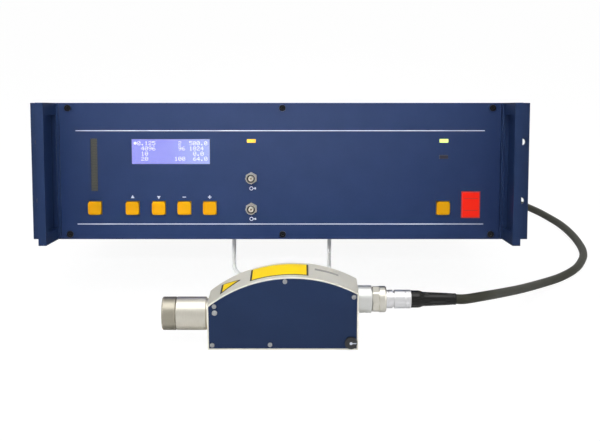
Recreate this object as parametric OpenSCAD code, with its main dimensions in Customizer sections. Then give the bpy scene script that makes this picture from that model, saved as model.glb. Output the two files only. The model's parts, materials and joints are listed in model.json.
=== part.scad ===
// Laser vibrometer: a rack controller raised on its fold-out bail, an arched sensor head in front of it,
// and the sensor cable that joins them. X runs to the right, Y away from the viewer and Z up from the table.
// The controller's own frame has X across, Y into the case from the panel's face and Z up from its middle.

/* [Controller case] */
// Width over both rack brackets
rack_w = 482.6; // [476:0.1:490]
// Height of the three-unit front panel
panel_h = 132.5; // [131:0.5:150]
// Width of the painted front panel between the brackets
panel_w = 427.2; // [422:0.2:429]
// Thickness of the front panel
panel_t = 4; // [3:0.5:5]
// Depth of the case behind the panel's face
case_d = 352; // [340:1:420]
// Thickness of the top and bottom covers
cover_t = 1.2; // [0.8:0.1:2]
// Thickness of the side plates
side_t = 3; // [2:0.5:3]
// Side of the square cross rails
rail_size = 8; // [6:1:9]
// Thickness of the rear panel
rear_t = 2; // [1.5:0.5:3]

/* [Stand] */
// Angle by which the controller leans back, in degrees
tilt = 8.9; // [6:0.1:11]
// Height of a rubber foot
foot_h = 9; // [7:0.5:14]
// Diameter of a rubber foot
foot_d = 18; // [14:0.5:24]
// Distance between the bail's two legs
bail_w = 100; // [80:1:160]
// Diameter of the bail's wire
bail_wire = 4; // [3.5:0.5:6]
// Distance of the bail's hinge behind the panel's face
bail_y = 80; // [60:1:110]
// Forward lean of the open bail from upright, in degrees
bail_lean = 12; // [9:1:20]

/* [Rack brackets] */
// Thickness of a bracket's flange
bracket_t = 4; // [3:0.5:4]
// Reach of the handle in front of the panel
handle_reach = 52; // [40:1:60]
// Thickness of the handle rib
handle_t = 7.2; // [6.5:0.1:8]
// Depth of the finger pocket in the rib
pocket_depth = 4.4; // [4.2:0.1:5]
// Length of a rack slot
slot_l = 10.3; // [9:0.1:11]
// Width of a rack slot
slot_w = 6.8; // [6.4:0.1:7.2]
// Distance between the left and right rack slots
slot_pitch_x = 465.1; // [464:0.1:466]
// Distance between the upper and lower rack slots
slot_pitch_z = 57.15; // [50:0.05:90]

/* [Panel fittings] */
// Side of a square push button
button_w = 12.9; // [11:0.1:15]
// Travel of a push button
button_travel = 1.5; // [1:0.1:1.6]
// Width of the display's window
display_w = 75.7; // [70:0.1:80]
// Height of the display's window
display_h = 24.1; // [20:0.1:30]
// Width of the bar display
bar_w = 6.5; // [5:0.1:8]
// Width of a lamp
lamp_w = 8.4; // [7:0.1:10]
// Height of a lamp
lamp_h = 3.4; // [3:0.1:6]
// Outer diameter of a coaxial jack's barrel
jack_d = 9.6; // [9.4:0.1:9.8]
// Width of the power switch's frame
switch_w = 18.2; // [16:0.2:19]
// Height of the power switch's frame
switch_h = 25.9; // [24:0.1:28]
// Travel of the power switch's cap
switch_travel = 3; // [2:0.5:3.5]
// Side of the rear fan
fan_w = 60; // [50:1:70]

/* [Sensor head] */
// Length of the head's arched body
head_len = 130.6; // [126:0.1:140]
// Depth of the head's body
head_d = 42.5; // [41:0.5:60]
// Radius of the arched top
arch_r = 116.2; // [112:0.1:122]
// Height of the arch's top above the table
arch_top = 66.1; // [65:0.1:72]
// Width of the bright rim around the side plates
rim = 1.2; // [0.8:0.1:2]
// Thickness of the shell's walls
shell_t = 4; // [3:0.5:5]
// Thickness of the base
base_t = 10; // [9:0.5:11]
// Thickness of the painted side plates
plate_t = 2; // [1.5:0.5:2.5]
// Diameter of the lens barrel and of the focus ring
barrel_d = 29.4; // [27:0.1:31]
// Height of the lens axis above the table
lens_z = 26; // [24:0.1:28]
// Diameter of the tapped hole's core, for an M6 thread
thread_d = 5; // [4.8:0.05:5.2]
// Depth of the tapped hole
thread_depth = 8; // [5:0.5:8]

/* [Sensor cable] */
// Diameter of the cable
cable_d = 8.7; // [8:0.1:9.2]
// Height of the head's connector above the table
plug_z = 39.2; // [37:0.1:39.4]
// Diameter of the socket's body at the head
socket_d = 24.2; // [22.6:0.1:24.4]
// Diameter of the coupling nut
nut_d = 23.1; // [21.6:0.1:24]
// Diameter of the plug's neck
neck_d = 16.3; // [14:0.1:16.6]
// Diameter of the plug's body
plug_d = 16.4; // [14:0.1:17]
// Length of the tapered strain relief
boot_l = 39.4; // [30:0.2:50]
// Loops in each layer of the coil
coil_loops = 3; // [2:1:4]
// Gap between the coil's neighbouring turns
coil_gap = 0.7; // [0.5:0.1:1.5]
// Radius of the coil at the middle of its turns
coil_r = 50; // [48:0.5:60]

/* [Hidden] */
$fn = 48;

// Overrun of every cut, and the clearances that the fits share
over = 1;
running = 0.05;
slip = 0.1;
clear_gap = 0.3;

// Case: heights of the cover faces and half widths, all from the middle of the panel
cover_inset = 1.05;
case_top = panel_h / 2 - cover_inset;
rail_top = case_top - cover_t;
panel_gap = 0.4;
plate_x = panel_w / 2 + panel_gap;
case_x = plate_x + side_t;
rear_y = case_d - rear_t;

// Screws: heads and shanks
screw_d = 3;
screw_head_d = 6.5;
screw_head_t = 2.2;
screw_lift = 1.3;
screw_inset = 8.4;
screw_z = rail_top - rail_size / 2 + screw_lift;
screw_x = panel_w / 2 - screw_inset;
screw_mid_x = 2.2;
cover_screw_shares = [-0.9, -0.3, 0.3, 0.9];
small_head_d = 5.6;
small_head_t = 1.6;

// Brackets
bracket_leg = 36;
bracket_leg_t = 3;
bracket_screw_share = 0.667;
handle_gap = 2.75;
handle_lip = 10;
pocket_end = 11.5;
pocket_back = 1.5;
pocket_reach = handle_reach - handle_lip - pocket_back;
handle_x = plate_x + handle_gap;

// Feet and bail
foot_inset_x = 26;
foot_front_y = 100;
foot_back_inset = 20;
foot_screw_d = 7;
foot_screw_deep = 5;
bail_drop = 5;
bail_pin = 9;
clip_w = 10;
clip_l = 14;
clip_h = 9;
foot_back_y = case_d - foot_back_inset + foot_d / 2;

// Panel fittings: places from the middle of the panel
button_xs = [-180.4, -143.8, -118.3, -93.5, -68.7, 158.4];
button_z = -35.6;
button_r = 2;
button_proud = 3.5;
button_flange = 1.2;
flange_t = 1.2;
stem_d = 4;
display_x = -106.2;
display_z = 19.2;
window_t = 1;
window_inset = 0.4;
module_w = 88;
module_h = 40;
module_t = 7;
display_board_w = 98;
display_board_h = 60;
bar_x = -180.6;
bar_z = 6.4;
bar_pitch = 2.54;
bar_count = 20;
bar_inset = 0.5;
segment_t = 0.3;
segment_w_share = 0.8;
segment_h_share = 0.68;
over_lamp_place = [-28, 29.6];
emission_lamp_place = [158.5, 29.7];
standby_lamp_place = [158.5, 14.1];
lamp_proud = 1;
lamp_r = 0.5;
jack_places = [[-28.2, -6.5], [-28.2, -36.3]];
jack_flange_w = 10.4;
jack_flange_t = 2.5;
jack_reach = 12.5;
jack_bore_d = 8.1;
jack_tail_d = 9.2;
jack_lug_d = 2;
jack_lug_over = 11;
jack_lug_back = 3.5;
jack_nut_t = 2.5;
jack_nut_w = 12;
insulator_d = 5;
insulator_short = 1.5;
contact_d = 2;
switch_place = [185.3, -32.4];
switch_frame = 1;
switch_frame_t = 1.2;
switch_cap_proud = 2;
switch_body_d = 26;
cap_back = 6;
cap_stem_d = 6;
cap_stem_l = 4;

// Boards
board_t = 1.6;
board_y = 12;
board_left = -192;
board_right = 172;
board_bottom = -52;
board_top = 46;
tact_w = 8;
tact_h = 3.6;
stem_l = board_y - tact_h - panel_t - clear_gap - flange_t - button_travel - slip;
pillar_d = 5;
board_pillar_places = [
    [-188, 42], [-188, -49], [-50, 42], [-50, -49], [60, 42], [60, -49], [168, 42], [168, -49]
];

// Main board, standing on pillars on the bottom cover
main_x = -10;
main_y = 60;
main_w = 205;
main_l = 220;
main_lift = 8;
main_pillar_inset = 8;
chip_places = [[24, 30], [74, 30], [124, 30], [40, 90], [110, 90], [40, 150], [176, 140], [160, 70]];
chip_w = 26;
chip_l = 26;
chip_t = 3;
cap_places = [[20, 190], [45, 190], [70, 190]];
cap_d = 16;
cap_h = 28;
sink_place = [110, 165];
sink_w = 60;
sink_l = 40;
sink_base = 4;
sink_fins = 8;
sink_fin_t = 1.6;
sink_fin_h = 22;

// Power supply on the bottom cover, ahead of the mains inlet
supply_x = -195;
supply_clear = 52;
supply_w = 110;
supply_l = 190;
inlet_deep = 20;
supply_y = case_d - inlet_deep - supply_clear - supply_l;
supply_h = 48;
supply_wall = 1.2;
supply_vents = 9;
vent_w = 4;
vent_pitch = 10;

// Rear fittings
fan_x = -60;
fan_t = 25;
fan_wall = 2;
fan_hub_d = 26;
fan_web = 3;
fan_shaft_d = 3;
fan_shaft_l = 14;
fan_hub_l = 17;
fan_tip_gap = 1.5;
fan_blades = 7;
fan_blade_t = 1.4;
fan_blade_pitch = 38;
fan_screw_share = 0.4167;
guard_wire = 1.6;
guard_rings = 3;
guard_weld_share = 0.8;
inlet_x = -165;
inlet_z = -22;
inlet_w = 27;
inlet_h = 20;
inlet_flange = 3;
inlet_flange_t = 2.5;
inlet_wall = 2.5;
inlet_mouth = 15;
inlet_pin = [2, 8, 4];
inlet_pin_x = 7;
inlet_pin_z = 2;
side_vents = 12;
side_vent_h = 44;
side_vent_y = 70;

// Head: places from the left end of the body, its front face and the table
head_x = -61;
head_ahead = 148;
arch_x = 73.7;
plate_proud = 0.3;
plate_gap = 0.15;
plate_screw_places = [[6.4, 40], [4.1, 4.6], [54.2, 5], [67.3, 62.4], [126.4, 48.5]];
dowel_place = [6.7, 34.1];
dowel_d = 4.6;
plate_head_d = 4;
plate_head_t = 1.4;
plate_shank_d = 2;
plate_shank_l = 8;
boss_d = 7;
thread_x = 65;
label_t = 0.5;
label_x = [37, 87.4];
label_y = [7, 37];
triangle_x = [11, 28];
triangle_y = [8, 33];
slot_mark_x = [93, 114];
slot_mark_y = [25, 31];
slot_mark_deep = 0.5;
knob_place = [124.3, 7];
knob_d = 11;
knob_proud = 3.2;
knob_shaft_d = 3;
arm_y = 21.4;
flag_l = 19;
flag_w = 5;
flag_t = 1.2;
flag_angle = 106;

// Lens: distances out of the left end of the body
neck_gap = 1.8;
barrel_neck_d = 26;
barrel_end = 28.2;
ring_end = 40.4;
ring_gap = 0.3;
ring_seat_d = 24;
ring_seat_end = 39.1;
ring_lip_d = 20.4;
ring_lip_t = 1.1;
lens_bore = 21;
carriage_wall = 1.9;
carriage_back = 16;
carriage_front = 34;
lens_t = 4;
lens_seat = 3.4;
lens_d = 18.6;
lens_bulge = 1.4;
barrel_in = 7;

// Optics on the bench inside the head
bench_t = 5;
bench_gap = 5;
splitter_shares = [0.06, 0.44, 0.86];
splitter_size = 10;
laser_d = 14;
laser_l = 44;

// Plug and socket: distances along the axis from the face that carries the socket
socket_l = 12.1;
socket_in = 6;
spigot_d = 18;
spigot_end = 20.2;
nut_start = 12.8;
nut_end = 24.9;
plug_flange_d = 17.8;
plug_flange_t = 0.7;
nut_shoulder = 0.2;
neck_end = 30.6;
groove_end = 32;
groove_d = 13.5;
plug_end = 46.8;
boot_end = plug_end + boot_l;
boot_tip_d = 9.2;
nut_flats = 8;
nut_flat_share = 0.965;
socket_place = [170, -18];

// Placement of the two units, so that the object's box stands over the origin
panel_mid_z = (case_top + foot_h) * cos(tilt) + foot_back_y * sin(tilt);
back_socket_y = (case_d + spigot_end) * cos(tilt) + (socket_place[1] + spigot_d / 2) * sin(tilt);
back_cover_y = case_d * cos(tilt) + case_top * sin(tilt);
panel_mid_y = (head_ahead + knob_proud - max(back_socket_y, back_cover_y)) / 2;
head_y = panel_mid_y - head_ahead;
head_mid_y = head_y + head_d / 2;

// World place of a point given in the controller's frame
function placed(p) = [
    p[0],
    panel_mid_y + p[1] * cos(tilt) + p[2] * sin(tilt),
    panel_mid_z - p[1] * sin(tilt) + p[2] * cos(tilt)
];

// Open bail: its hinge's height gives the leg's length
bail_hinge = placed([0, bail_y, -case_top - bail_drop]);
bail_leg = (bail_hinge[2] - bail_wire / 2) / cos(bail_lean);
bail_bend = 10;

// Cable: the two ends of the free stretch, then its route over the table, chosen by hand
head_exit = [head_x + head_len + boot_end, head_mid_y, plug_z];
rear_exit = placed([socket_place[0], case_d + boot_end, socket_place[1]]);
rear_way = [0, cos(tilt), -sin(tilt)];
rest_z = cable_d / 2 + running;
coil_pitch = cable_d + coil_gap;
coil_centre = [60, 357];
coil_outer = coil_r + (coil_loops / 2 - 0.25) * coil_pitch;
route_middle = [
    [185.5, -217.4, 36.5], [206.2, -187.1, 29], [232.4, -146, 19], [263.1, -98.7, 9], [290, -64.6, 4.4],
    [312.5, -35.8, 4.4], [328, -3.1, 4.4], [336.2, 24.3, 4.4], [340.5, 58.1, 4.4], [341.7, 101.2, 4.4],
    [338.8, 144.5, 4.4], [331, 184, 4.4], [323, 214, 4.4], [310, 246, 4.4], [288, 274, 4.4], [256, 291, 4.4],
    [220, 297, 4.4], [180, 298, 4.6], [140, 298, 6], [104, 298, 10]
];
tail_middle = [
    [170, 344, 36], [169, 366, 28], [163, 388, 16], [150, 404, 7], [130, 414, 4.4], [104, 417.5, 4.4]
];

module at_controller() { translate([0, panel_mid_y, panel_mid_z]) rotate([-tilt, 0, 0]) children(); }
module at_head() { translate([head_x, head_y, 0]) children(); }

// Rods along Y and along X from a start to an end
module rod_y(d, y0, y1) { translate([0, y0, 0]) rotate([-90, 0, 0]) cylinder(d = d, h = y1 - y0); }
module rod_x(d, x0, x1) { translate([x0, 0, 0]) rotate([0, 90, 0]) cylinder(d = d, h = x1 - x0); }
module hex_y(w, y0, y1) {
    translate([0, y0, 0]) rotate([-90, 0, 0]) cylinder(d = w / cos(30), h = y1 - y0, $fn = 6);
}

// Upright slab centred on X and Z, with rounded corners, from one depth to another
module slab(w, h, r, y0, y1) {
    translate([-w / 2 + r, y0, -h / 2]) cube([w - 2 * r, y1 - y0, h]);
    translate([-w / 2, y0, -h / 2 + r]) cube([w, y1 - y0, h - 2 * r]);
    for (x = [-1, 1], z = [-1, 1])
        translate([x * (w / 2 - r), 0, z * (h / 2 - r)]) rod_y(2 * r, y0, y1);
}
module block(w, h, y0, y1) { translate([-w / 2, y0, -h / 2]) cube([w, y1 - y0, h]); }
module at_place(p) { translate([p[0], 0, p[1]]) children(); }

// Controller

module front_panel() {
    color("#2b3852") at_controller() difference() {
        block(panel_w, panel_h, 0, panel_t);
        at_place([display_x, display_z]) block(display_w + slip, display_h + slip, -over, panel_t + over);
        at_place([bar_x, bar_z]) block(bar_w + slip, bar_pitch * bar_count + slip, -over, panel_t + over);
        for (x = button_xs) at_place([x, button_z])
            block(button_w + 2 * clear_gap, button_w + 2 * clear_gap, -over, panel_t + over);
        for (p = [over_lamp_place, emission_lamp_place, standby_lamp_place]) at_place(p)
            block(lamp_w + slip, lamp_h + slip, -over, panel_t + over);
        for (p = jack_places) at_place(p) rod_y(jack_tail_d, -over, panel_t + over);
        at_place(switch_place) block(switch_w - switch_frame, switch_h - switch_frame, -over, panel_t + over);
        for (x = [-screw_x, screw_mid_x, screw_x], z = [-screw_z, screw_z]) at_place([x, z])
            rod_y(screw_d + slip, -over, panel_t + over);
    }
}

module rack_bracket(side) {
    flange_w = rack_w / 2 - plate_x;
    color("#2f3b52") at_controller() scale([side, 1, 1]) difference() {
        union() {
            translate([plate_x, 0, -panel_h / 2]) cube([flange_w, bracket_t, panel_h]);
            translate([handle_x, -handle_reach, -panel_h / 2]) cube([handle_t, handle_reach, panel_h]);
            translate([case_x, 0, -case_top]) cube([bracket_leg_t, bracket_leg, 2 * case_top]);
        }
        translate([handle_x - over, handle_lip - handle_reach, -panel_h / 2 + pocket_end])
            cube([pocket_depth + over, pocket_reach, panel_h - 2 * pocket_end]);
        for (z = [-1, 1]) translate([slot_pitch_x / 2, 0, z * slot_pitch_z / 2]) {
            block(slot_l - slot_w, slot_w, -over, bracket_t + over);
            for (x = [-1, 1]) translate([x * (slot_l - slot_w) / 2, 0, 0]) rod_y(slot_w, -over, bracket_t + over);
        }
        for (z = [-1, 1]) translate([0, bracket_leg * bracket_screw_share, z * case_top / 2])
            rod_x(screw_d + slip, case_x - over, case_x + bracket_leg_t + over);
    }
}
module rack_bracket_left() { rack_bracket(-1); }
module rack_bracket_right() { rack_bracket(1); }

module side_plate(side) {
    color("#8d9299") at_controller() scale([side, 1, 1]) difference() {
        translate([plate_x, panel_t, -rail_top]) cube([side_t, case_d - panel_t, 2 * rail_top]);
        for (i = [0 : side_vents - 1])
            translate([plate_x - over, side_vent_y + i * vent_pitch, -side_vent_h / 2])
                cube([side_t + 2 * over, vent_w, side_vent_h]);
        for (z = [-1, 1]) translate([0, bracket_leg * bracket_screw_share, z * case_top / 2])
            rod_x(screw_d + slip, plate_x - over, case_x + over);
    }
}
module side_plate_left() { side_plate(-1); }
module side_plate_right() { side_plate(1); }

module front_rails() {
    color("#a7abb0") at_controller() difference() {
        for (z = [-rail_top, rail_top - rail_size])
            translate([-plate_x, panel_t, z]) cube([2 * plate_x, rail_size, rail_size]);
        for (x = [-screw_x, screw_mid_x, screw_x], z = [-screw_z, screw_z]) at_place([x, z])
            rod_y(screw_d + slip, panel_t - over, panel_t + rail_size + over);
    }
}

module rear_rails() {
    color("#a7abb0") at_controller()
        for (z = [-rail_top, rail_top - rail_size])
            translate([-plate_x, rear_y - rail_size, z]) cube([2 * plate_x, rail_size, rail_size]);
}

module cover(z) { translate([-case_x, panel_t, z]) cube([2 * case_x, case_d - panel_t, cover_t]); }
module top_cover() { color("#3a4254") at_controller() cover(rail_top); }
module bottom_cover() { color("#3a4254") at_controller() cover(-case_top); }

module rear_panel() {
    color("#b4b6b8") at_controller() difference() {
        translate([-plate_x, rear_y, -rail_top]) cube([2 * plate_x, rear_t, 2 * rail_top]);
        at_place([inlet_x, inlet_z]) block(inlet_w + slip, inlet_h + slip, rear_y - over, case_d + over);
        at_place([fan_x, 0]) rod_y(fan_w - 2 * fan_wall, rear_y - over, case_d + over);
        at_place(socket_place) rod_y(spigot_d + slip, rear_y - over, case_d + over);
    }
}

// Screws through the brackets' legs, and along the edges of both covers
module case_screws() {
    color("#26282b") at_controller() {
        for (side = [-1, 1], z = [-1, 1]) scale([side, 1, 1])
            translate([0, bracket_leg * bracket_screw_share, z * case_top / 2]) {
                rod_x(small_head_d, case_x + bracket_leg_t, case_x + bracket_leg_t + small_head_t);
                rod_x(screw_d, plate_x, case_x + bracket_leg_t);
            }
        for (x = cover_screw_shares, y = [panel_t + rail_size / 2, rear_y - rail_size / 2])
            translate([x * case_x, y, case_top]) cylinder(d = small_head_d, h = small_head_t / 2);
        for (x = cover_screw_shares, y = [panel_t + rail_size / 2, rear_y - rail_size / 2])
            translate([x * case_x, y, -case_top - small_head_t / 2]) cylinder(d = small_head_d, h = small_head_t / 2);
    }
}

module panel_screws() {
    color("#1a1b1e") at_controller() for (x = [-screw_x, screw_mid_x, screw_x], z = [-screw_z, screw_z]) at_place([x, z]) {
        rod_y(screw_head_d, -screw_head_t, 0);
        rod_y(screw_d, 0, panel_t + rail_size);
    }
}

module case_feet() {
    color("#1c1d1f") at_controller()
        for (x = [-1, 1], y = [foot_front_y, case_d - foot_back_inset])
            translate([x * (case_x - foot_inset_x), y, -case_top - foot_h]) difference() {
                cylinder(d = foot_d, h = foot_h);
                translate([0, 0, -over]) cylinder(d = foot_screw_d, h = foot_screw_deep + over);
            }
}

// Clips that hold the bail's two turned-in ends
module bail_clips() {
    color("#33363c") at_controller() for (side = [-1, 1]) scale([side, 1, 1]) difference() {
        translate([bail_w / 2 - bail_pin - bail_wire + clear_gap, bail_y - clip_l / 2, -case_top - clip_h])
            cube([clip_w, clip_l, clip_h]);
        translate([0, bail_y, -case_top - bail_drop]) rod_x(bail_wire + 2 * running, 0, bail_w);
    }
}

// Wire bail: turned-in ends, two legs, two bends and the bar on the table
module tilt_bail() {
    color("#c9cbcc") translate([0, bail_hinge[1], bail_hinge[2]]) rotate([-bail_lean, 0, 0]) {
        for (side = [-1, 1]) scale([side, 1, 1]) {
            rod_x(bail_wire, bail_w / 2 - bail_pin - bail_wire, bail_w / 2);
            translate([bail_w / 2, 0, 0]) sphere(d = bail_wire);
            translate([bail_w / 2, 0, -bail_leg + bail_bend]) cylinder(d = bail_wire, h = bail_leg - bail_bend);
            translate([bail_w / 2 - bail_bend, 0, -bail_leg + bail_bend]) rotate([-90, 0, 0])
                rotate_extrude(angle = 90) translate([bail_bend, 0]) circle(d = bail_wire);
        }
        translate([0, 0, -bail_leg]) rod_x(bail_wire, bail_bend - bail_w / 2, bail_w / 2 - bail_bend);
    }
}

module display_window() {
    color("#b9b4ff", 0.6) at_controller() at_place([display_x, display_z])
        block(display_w, display_h, window_inset, window_inset + window_t);
}

module display_module() {
    color("#9aa3f5") at_controller() at_place([display_x, display_z]) {
        block(display_w, display_h, window_inset + window_t, panel_t);
        block(module_w, module_h, panel_t, panel_t + module_t);
        block(display_board_w, display_board_h, panel_t + module_t, panel_t + module_t + board_t);
    }
}

module front_board() {
    color("#2e6b3e") at_controller() difference() {
        translate([board_left, board_y, board_bottom])
            cube([board_right - board_left, board_t, board_top - board_bottom]);
        at_place([display_x, display_z])
            block(display_board_w + over, display_board_h + over, board_y - over, board_y + board_t + over);
        for (p = jack_places) at_place(p) rod_y(jack_nut_w + 2 * over, board_y - over, board_y + board_t + over);
    }
}

// Pillars between the panel and the boards behind it, and those under the main board
module board_pillars() {
    color("#c9a24a") at_controller() {
        for (p = board_pillar_places) at_place(p) rod_y(pillar_d, panel_t, board_y);
        for (x = [-1, 1], z = [-1, 1])
            at_place([display_x, display_z])
                at_place([x * (display_board_w - pillar_d) / 2, z * (display_board_h - pillar_d) / 2])
                    rod_y(pillar_d, panel_t, panel_t + module_t);
        for (x = [main_pillar_inset, main_w - main_pillar_inset])
            for (y = [main_pillar_inset, main_l - main_pillar_inset])
                translate([main_x + x, main_y + y, -rail_top]) cylinder(d = pillar_d, h = main_lift);
    }
}

module bar_display() {
    color("#23261f") at_controller() at_place([bar_x, bar_z])
        block(bar_w, bar_pitch * bar_count, bar_inset, board_y);
}

module bar_segments() {
    color("#4a4c33") at_controller() for (i = [0 : bar_count - 1])
        at_place([bar_x, bar_z + (i - (bar_count - 1) / 2) * bar_pitch])
            block(bar_w * segment_w_share, bar_pitch * segment_h_share, bar_inset - segment_t, bar_inset);
}

module button_switches() {
    color("#1d1d1f") at_controller() for (x = button_xs) at_place([x, button_z])
        block(tact_w, tact_w, board_y - tact_h, board_y);
}

// Push button: cap, the flange that keeps it in the panel, and its stem
module push_button(i) {
    flange_y = panel_t + clear_gap;
    color("#e0a21c") at_controller() at_place([button_xs[i], button_z]) {
        slab(button_w, button_w, button_r, -button_proud, flange_y);
        block(button_w + 2 * button_flange, button_w + 2 * button_flange, flange_y, flange_y + flange_t);
        rod_y(stem_d, flange_y + flange_t, flange_y + flange_t + stem_l);
    }
}
module clear_button() { push_button(0); }
module up_button() { push_button(1); }
module down_button() { push_button(2); }
module minus_button() { push_button(3); }
module plus_button() { push_button(4); }
module laser_button() { push_button(5); }

module lamp(p, c) { color(c) at_controller() at_place(p) slab(lamp_w, lamp_h, lamp_r, -lamp_proud, board_y); }
module over_lamp() { lamp(over_lamp_place, "#f5b81e"); }
module emission_lamp() { lamp(emission_lamp_place, "#e6f56e"); }
module standby_lamp() { lamp(standby_lamp_place, "#6b5a3a"); }

module coax_jacks() {
    color("#c7c4bc") at_controller() for (p = jack_places) at_place(p) {
        difference() {
            union() {
                hex_y(jack_flange_w, -jack_flange_t, 0);
                rod_y(jack_d, -jack_reach, 0);
                for (x = [-1, 1]) scale([x, 1, 1]) translate([0, jack_lug_back - jack_reach, 0])
                    rod_x(jack_lug_d, jack_bore_d / 2, jack_lug_over / 2);
            }
            rod_y(jack_bore_d, -jack_reach - over, -jack_flange_t);
        }
        rod_y(jack_tail_d, 0, board_y);
        hex_y(jack_nut_w, panel_t, panel_t + jack_nut_t);
    }
}

module jack_insulators() {
    color("#e9e6de") at_controller() for (p = jack_places) at_place(p) difference() {
        rod_y(insulator_d, insulator_short - jack_reach, -jack_flange_t);
        rod_y(contact_d, insulator_short - jack_reach - over, -jack_flange_t - insulator_short);
    }
}

module jack_contacts() {
    color("#d9b45a") at_controller() for (p = jack_places) at_place(p)
        rod_y(contact_d, insulator_short + clear_gap - jack_reach, -jack_flange_t - insulator_short);
}

// Switch body with its frame; the cap slides in the cavity
module power_switch_body() {
    cap_w = switch_w - 2 * switch_frame;
    cap_h = switch_h - 2 * switch_frame;
    color("#9c1d14") at_controller() at_place(switch_place) difference() {
        union() {
            block(switch_w, switch_h, -switch_frame_t, 0);
            block(switch_w - switch_frame, switch_h - switch_frame, 0, switch_body_d);
        }
        block(cap_w, cap_h, -switch_frame_t - over, cap_back + switch_travel + clear_gap);
        rod_y(cap_stem_d + 2 * clear_gap, 0, cap_back + cap_stem_l + switch_travel + clear_gap);
    }
}

module power_switch_cap() {
    cap_w = switch_w - 2 * switch_frame - 2 * slip;
    cap_h = switch_h - 2 * switch_frame - 2 * slip;
    color("#eb2d19") at_controller() at_place(switch_place) {
        block(cap_w, cap_h, -switch_cap_proud, cap_back);
        rod_y(cap_stem_d, cap_back, cap_back + cap_stem_l);
    }
}

module mains_inlet() {
    color("#1b1c1e") at_controller() at_place([inlet_x, inlet_z]) {
        difference() {
            union() {
                block(inlet_w + 2 * inlet_flange, inlet_h + 2 * inlet_flange, case_d, case_d + inlet_flange_t);
                block(inlet_w, inlet_h, case_d - inlet_deep, case_d);
            }
            block(inlet_w - 2 * inlet_wall, inlet_h - 2 * inlet_wall, case_d + inlet_flange_t - inlet_mouth,
                case_d + inlet_flange_t + over);
        }
        for (p = [[-inlet_pin_x, -inlet_pin_z], [0, inlet_pin_z], [inlet_pin_x, -inlet_pin_z]])
            at_place(p) block(inlet_pin[0], inlet_pin[2], case_d + inlet_flange_t - inlet_mouth,
                case_d + inlet_flange_t - inlet_mouth + inlet_pin[1]);
    }
}

module fan_housing() {
    bore = fan_w - 2 * fan_wall;
    color("#222427") at_controller() at_place([fan_x, 0]) {
        difference() {
            block(fan_w, fan_w, rear_y - fan_t, rear_y);
            rod_y(bore, rear_y - fan_t - over, rear_y + over);
        }
        for (a = [0, 90]) rotate([0, a, 0])
            block(bore + fan_wall, fan_web, rear_y - fan_t, rear_y - fan_t + fan_web);
        rod_y(fan_hub_d, rear_y - fan_t, rear_y - fan_t + fan_web);
        rod_y(fan_shaft_d, rear_y - fan_t, rear_y - fan_t + fan_web + fan_shaft_l);
    }
}

module fan_rotor() {
    hub_y = rear_y - fan_t + fan_web + clear_gap;
    bore = fan_w - 2 * fan_wall;
    color("#2d3034") at_controller() at_place([fan_x, 0]) difference() {
        union() {
            rod_y(fan_hub_d, hub_y, hub_y + fan_hub_l);
            intersection() {
                for (i = [0 : fan_blades - 1]) rotate([0, i * 360 / fan_blades, 0])
                    translate([0, hub_y + fan_hub_l / 2, 0]) rotate([0, 0, fan_blade_pitch])
                        translate([-fan_hub_l / 2, -fan_blade_t / 2, fan_hub_d / 2 - fan_wall])
                            cube([fan_hub_l, fan_blade_t, bore / 2]);
                rod_y(bore - 2 * fan_tip_gap, hub_y, hub_y + fan_hub_l);
            }
        }
        rod_y(fan_shaft_d + 2 * running, hub_y - over, rear_y - fan_t + fan_web + fan_shaft_l + clear_gap);
    }
}

// Wire guard: rings on a cross, with the screws at its four ends
module fan_guard() {
    reach = fan_w * fan_screw_share;
    cross_y = case_d + guard_wire / 2;
    ring_y = cross_y + guard_wire * guard_weld_share;
    color("#d0d2d4") at_controller() at_place([fan_x, 0]) {
        for (i = [1 : guard_rings]) translate([0, ring_y, 0]) rotate([90, 0, 0])
            rotate_extrude() translate([i * reach / guard_rings, 0]) circle(d = guard_wire, $fn = 16);
        for (a = [45, 135]) rotate([0, a, 0]) translate([0, cross_y, 0])
            rod_x(guard_wire, -reach * sqrt(2), reach * sqrt(2));
        for (x = [-1, 1], z = [-1, 1]) at_place([x * reach, z * reach])
            rod_y(small_head_d, case_d, case_d + guard_wire);
    }
}

module power_supply() {
    color("#a9acaf") at_controller() translate([supply_x, supply_y, -rail_top]) difference() {
        cube([supply_w, supply_l, supply_h]);
        translate([supply_wall, supply_wall, supply_wall])
            cube([supply_w - 2 * supply_wall, supply_l - 2 * supply_wall, supply_h - 2 * supply_wall]);
        for (i = [1 : supply_vents]) translate([supply_w / 4, i * 2 * vent_pitch - vent_w / 2, supply_h / 2])
            cube([supply_w / 2, vent_w, supply_h]);
    }
}

module main_board() {
    color("#2e6b3e") at_controller() translate([main_x, main_y, main_lift - rail_top]) {
        cube([main_w, main_l, board_t]);
        for (p = chip_places) translate([p[0] - chip_w / 2, p[1] - chip_l / 2, board_t])
            cube([chip_w, chip_l, chip_t]);
        for (p = cap_places) translate([p[0], p[1], board_t]) cylinder(d = cap_d, h = cap_h);
        translate([sink_place[0], sink_place[1], board_t]) {
            translate([-sink_w / 2, -sink_l / 2, 0]) cube([sink_w, sink_l, sink_base]);
            for (i = [0 : sink_fins - 1])
                translate([-sink_w / 2 + i * (sink_w - sink_fin_t) / (sink_fins - 1), -sink_l / 2, 0])
                    cube([sink_fin_t, sink_l, sink_fin_h]);
        }
    }
}

// Socket, plug, strain relief and nut, all along +X from the face that carries the socket

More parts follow.
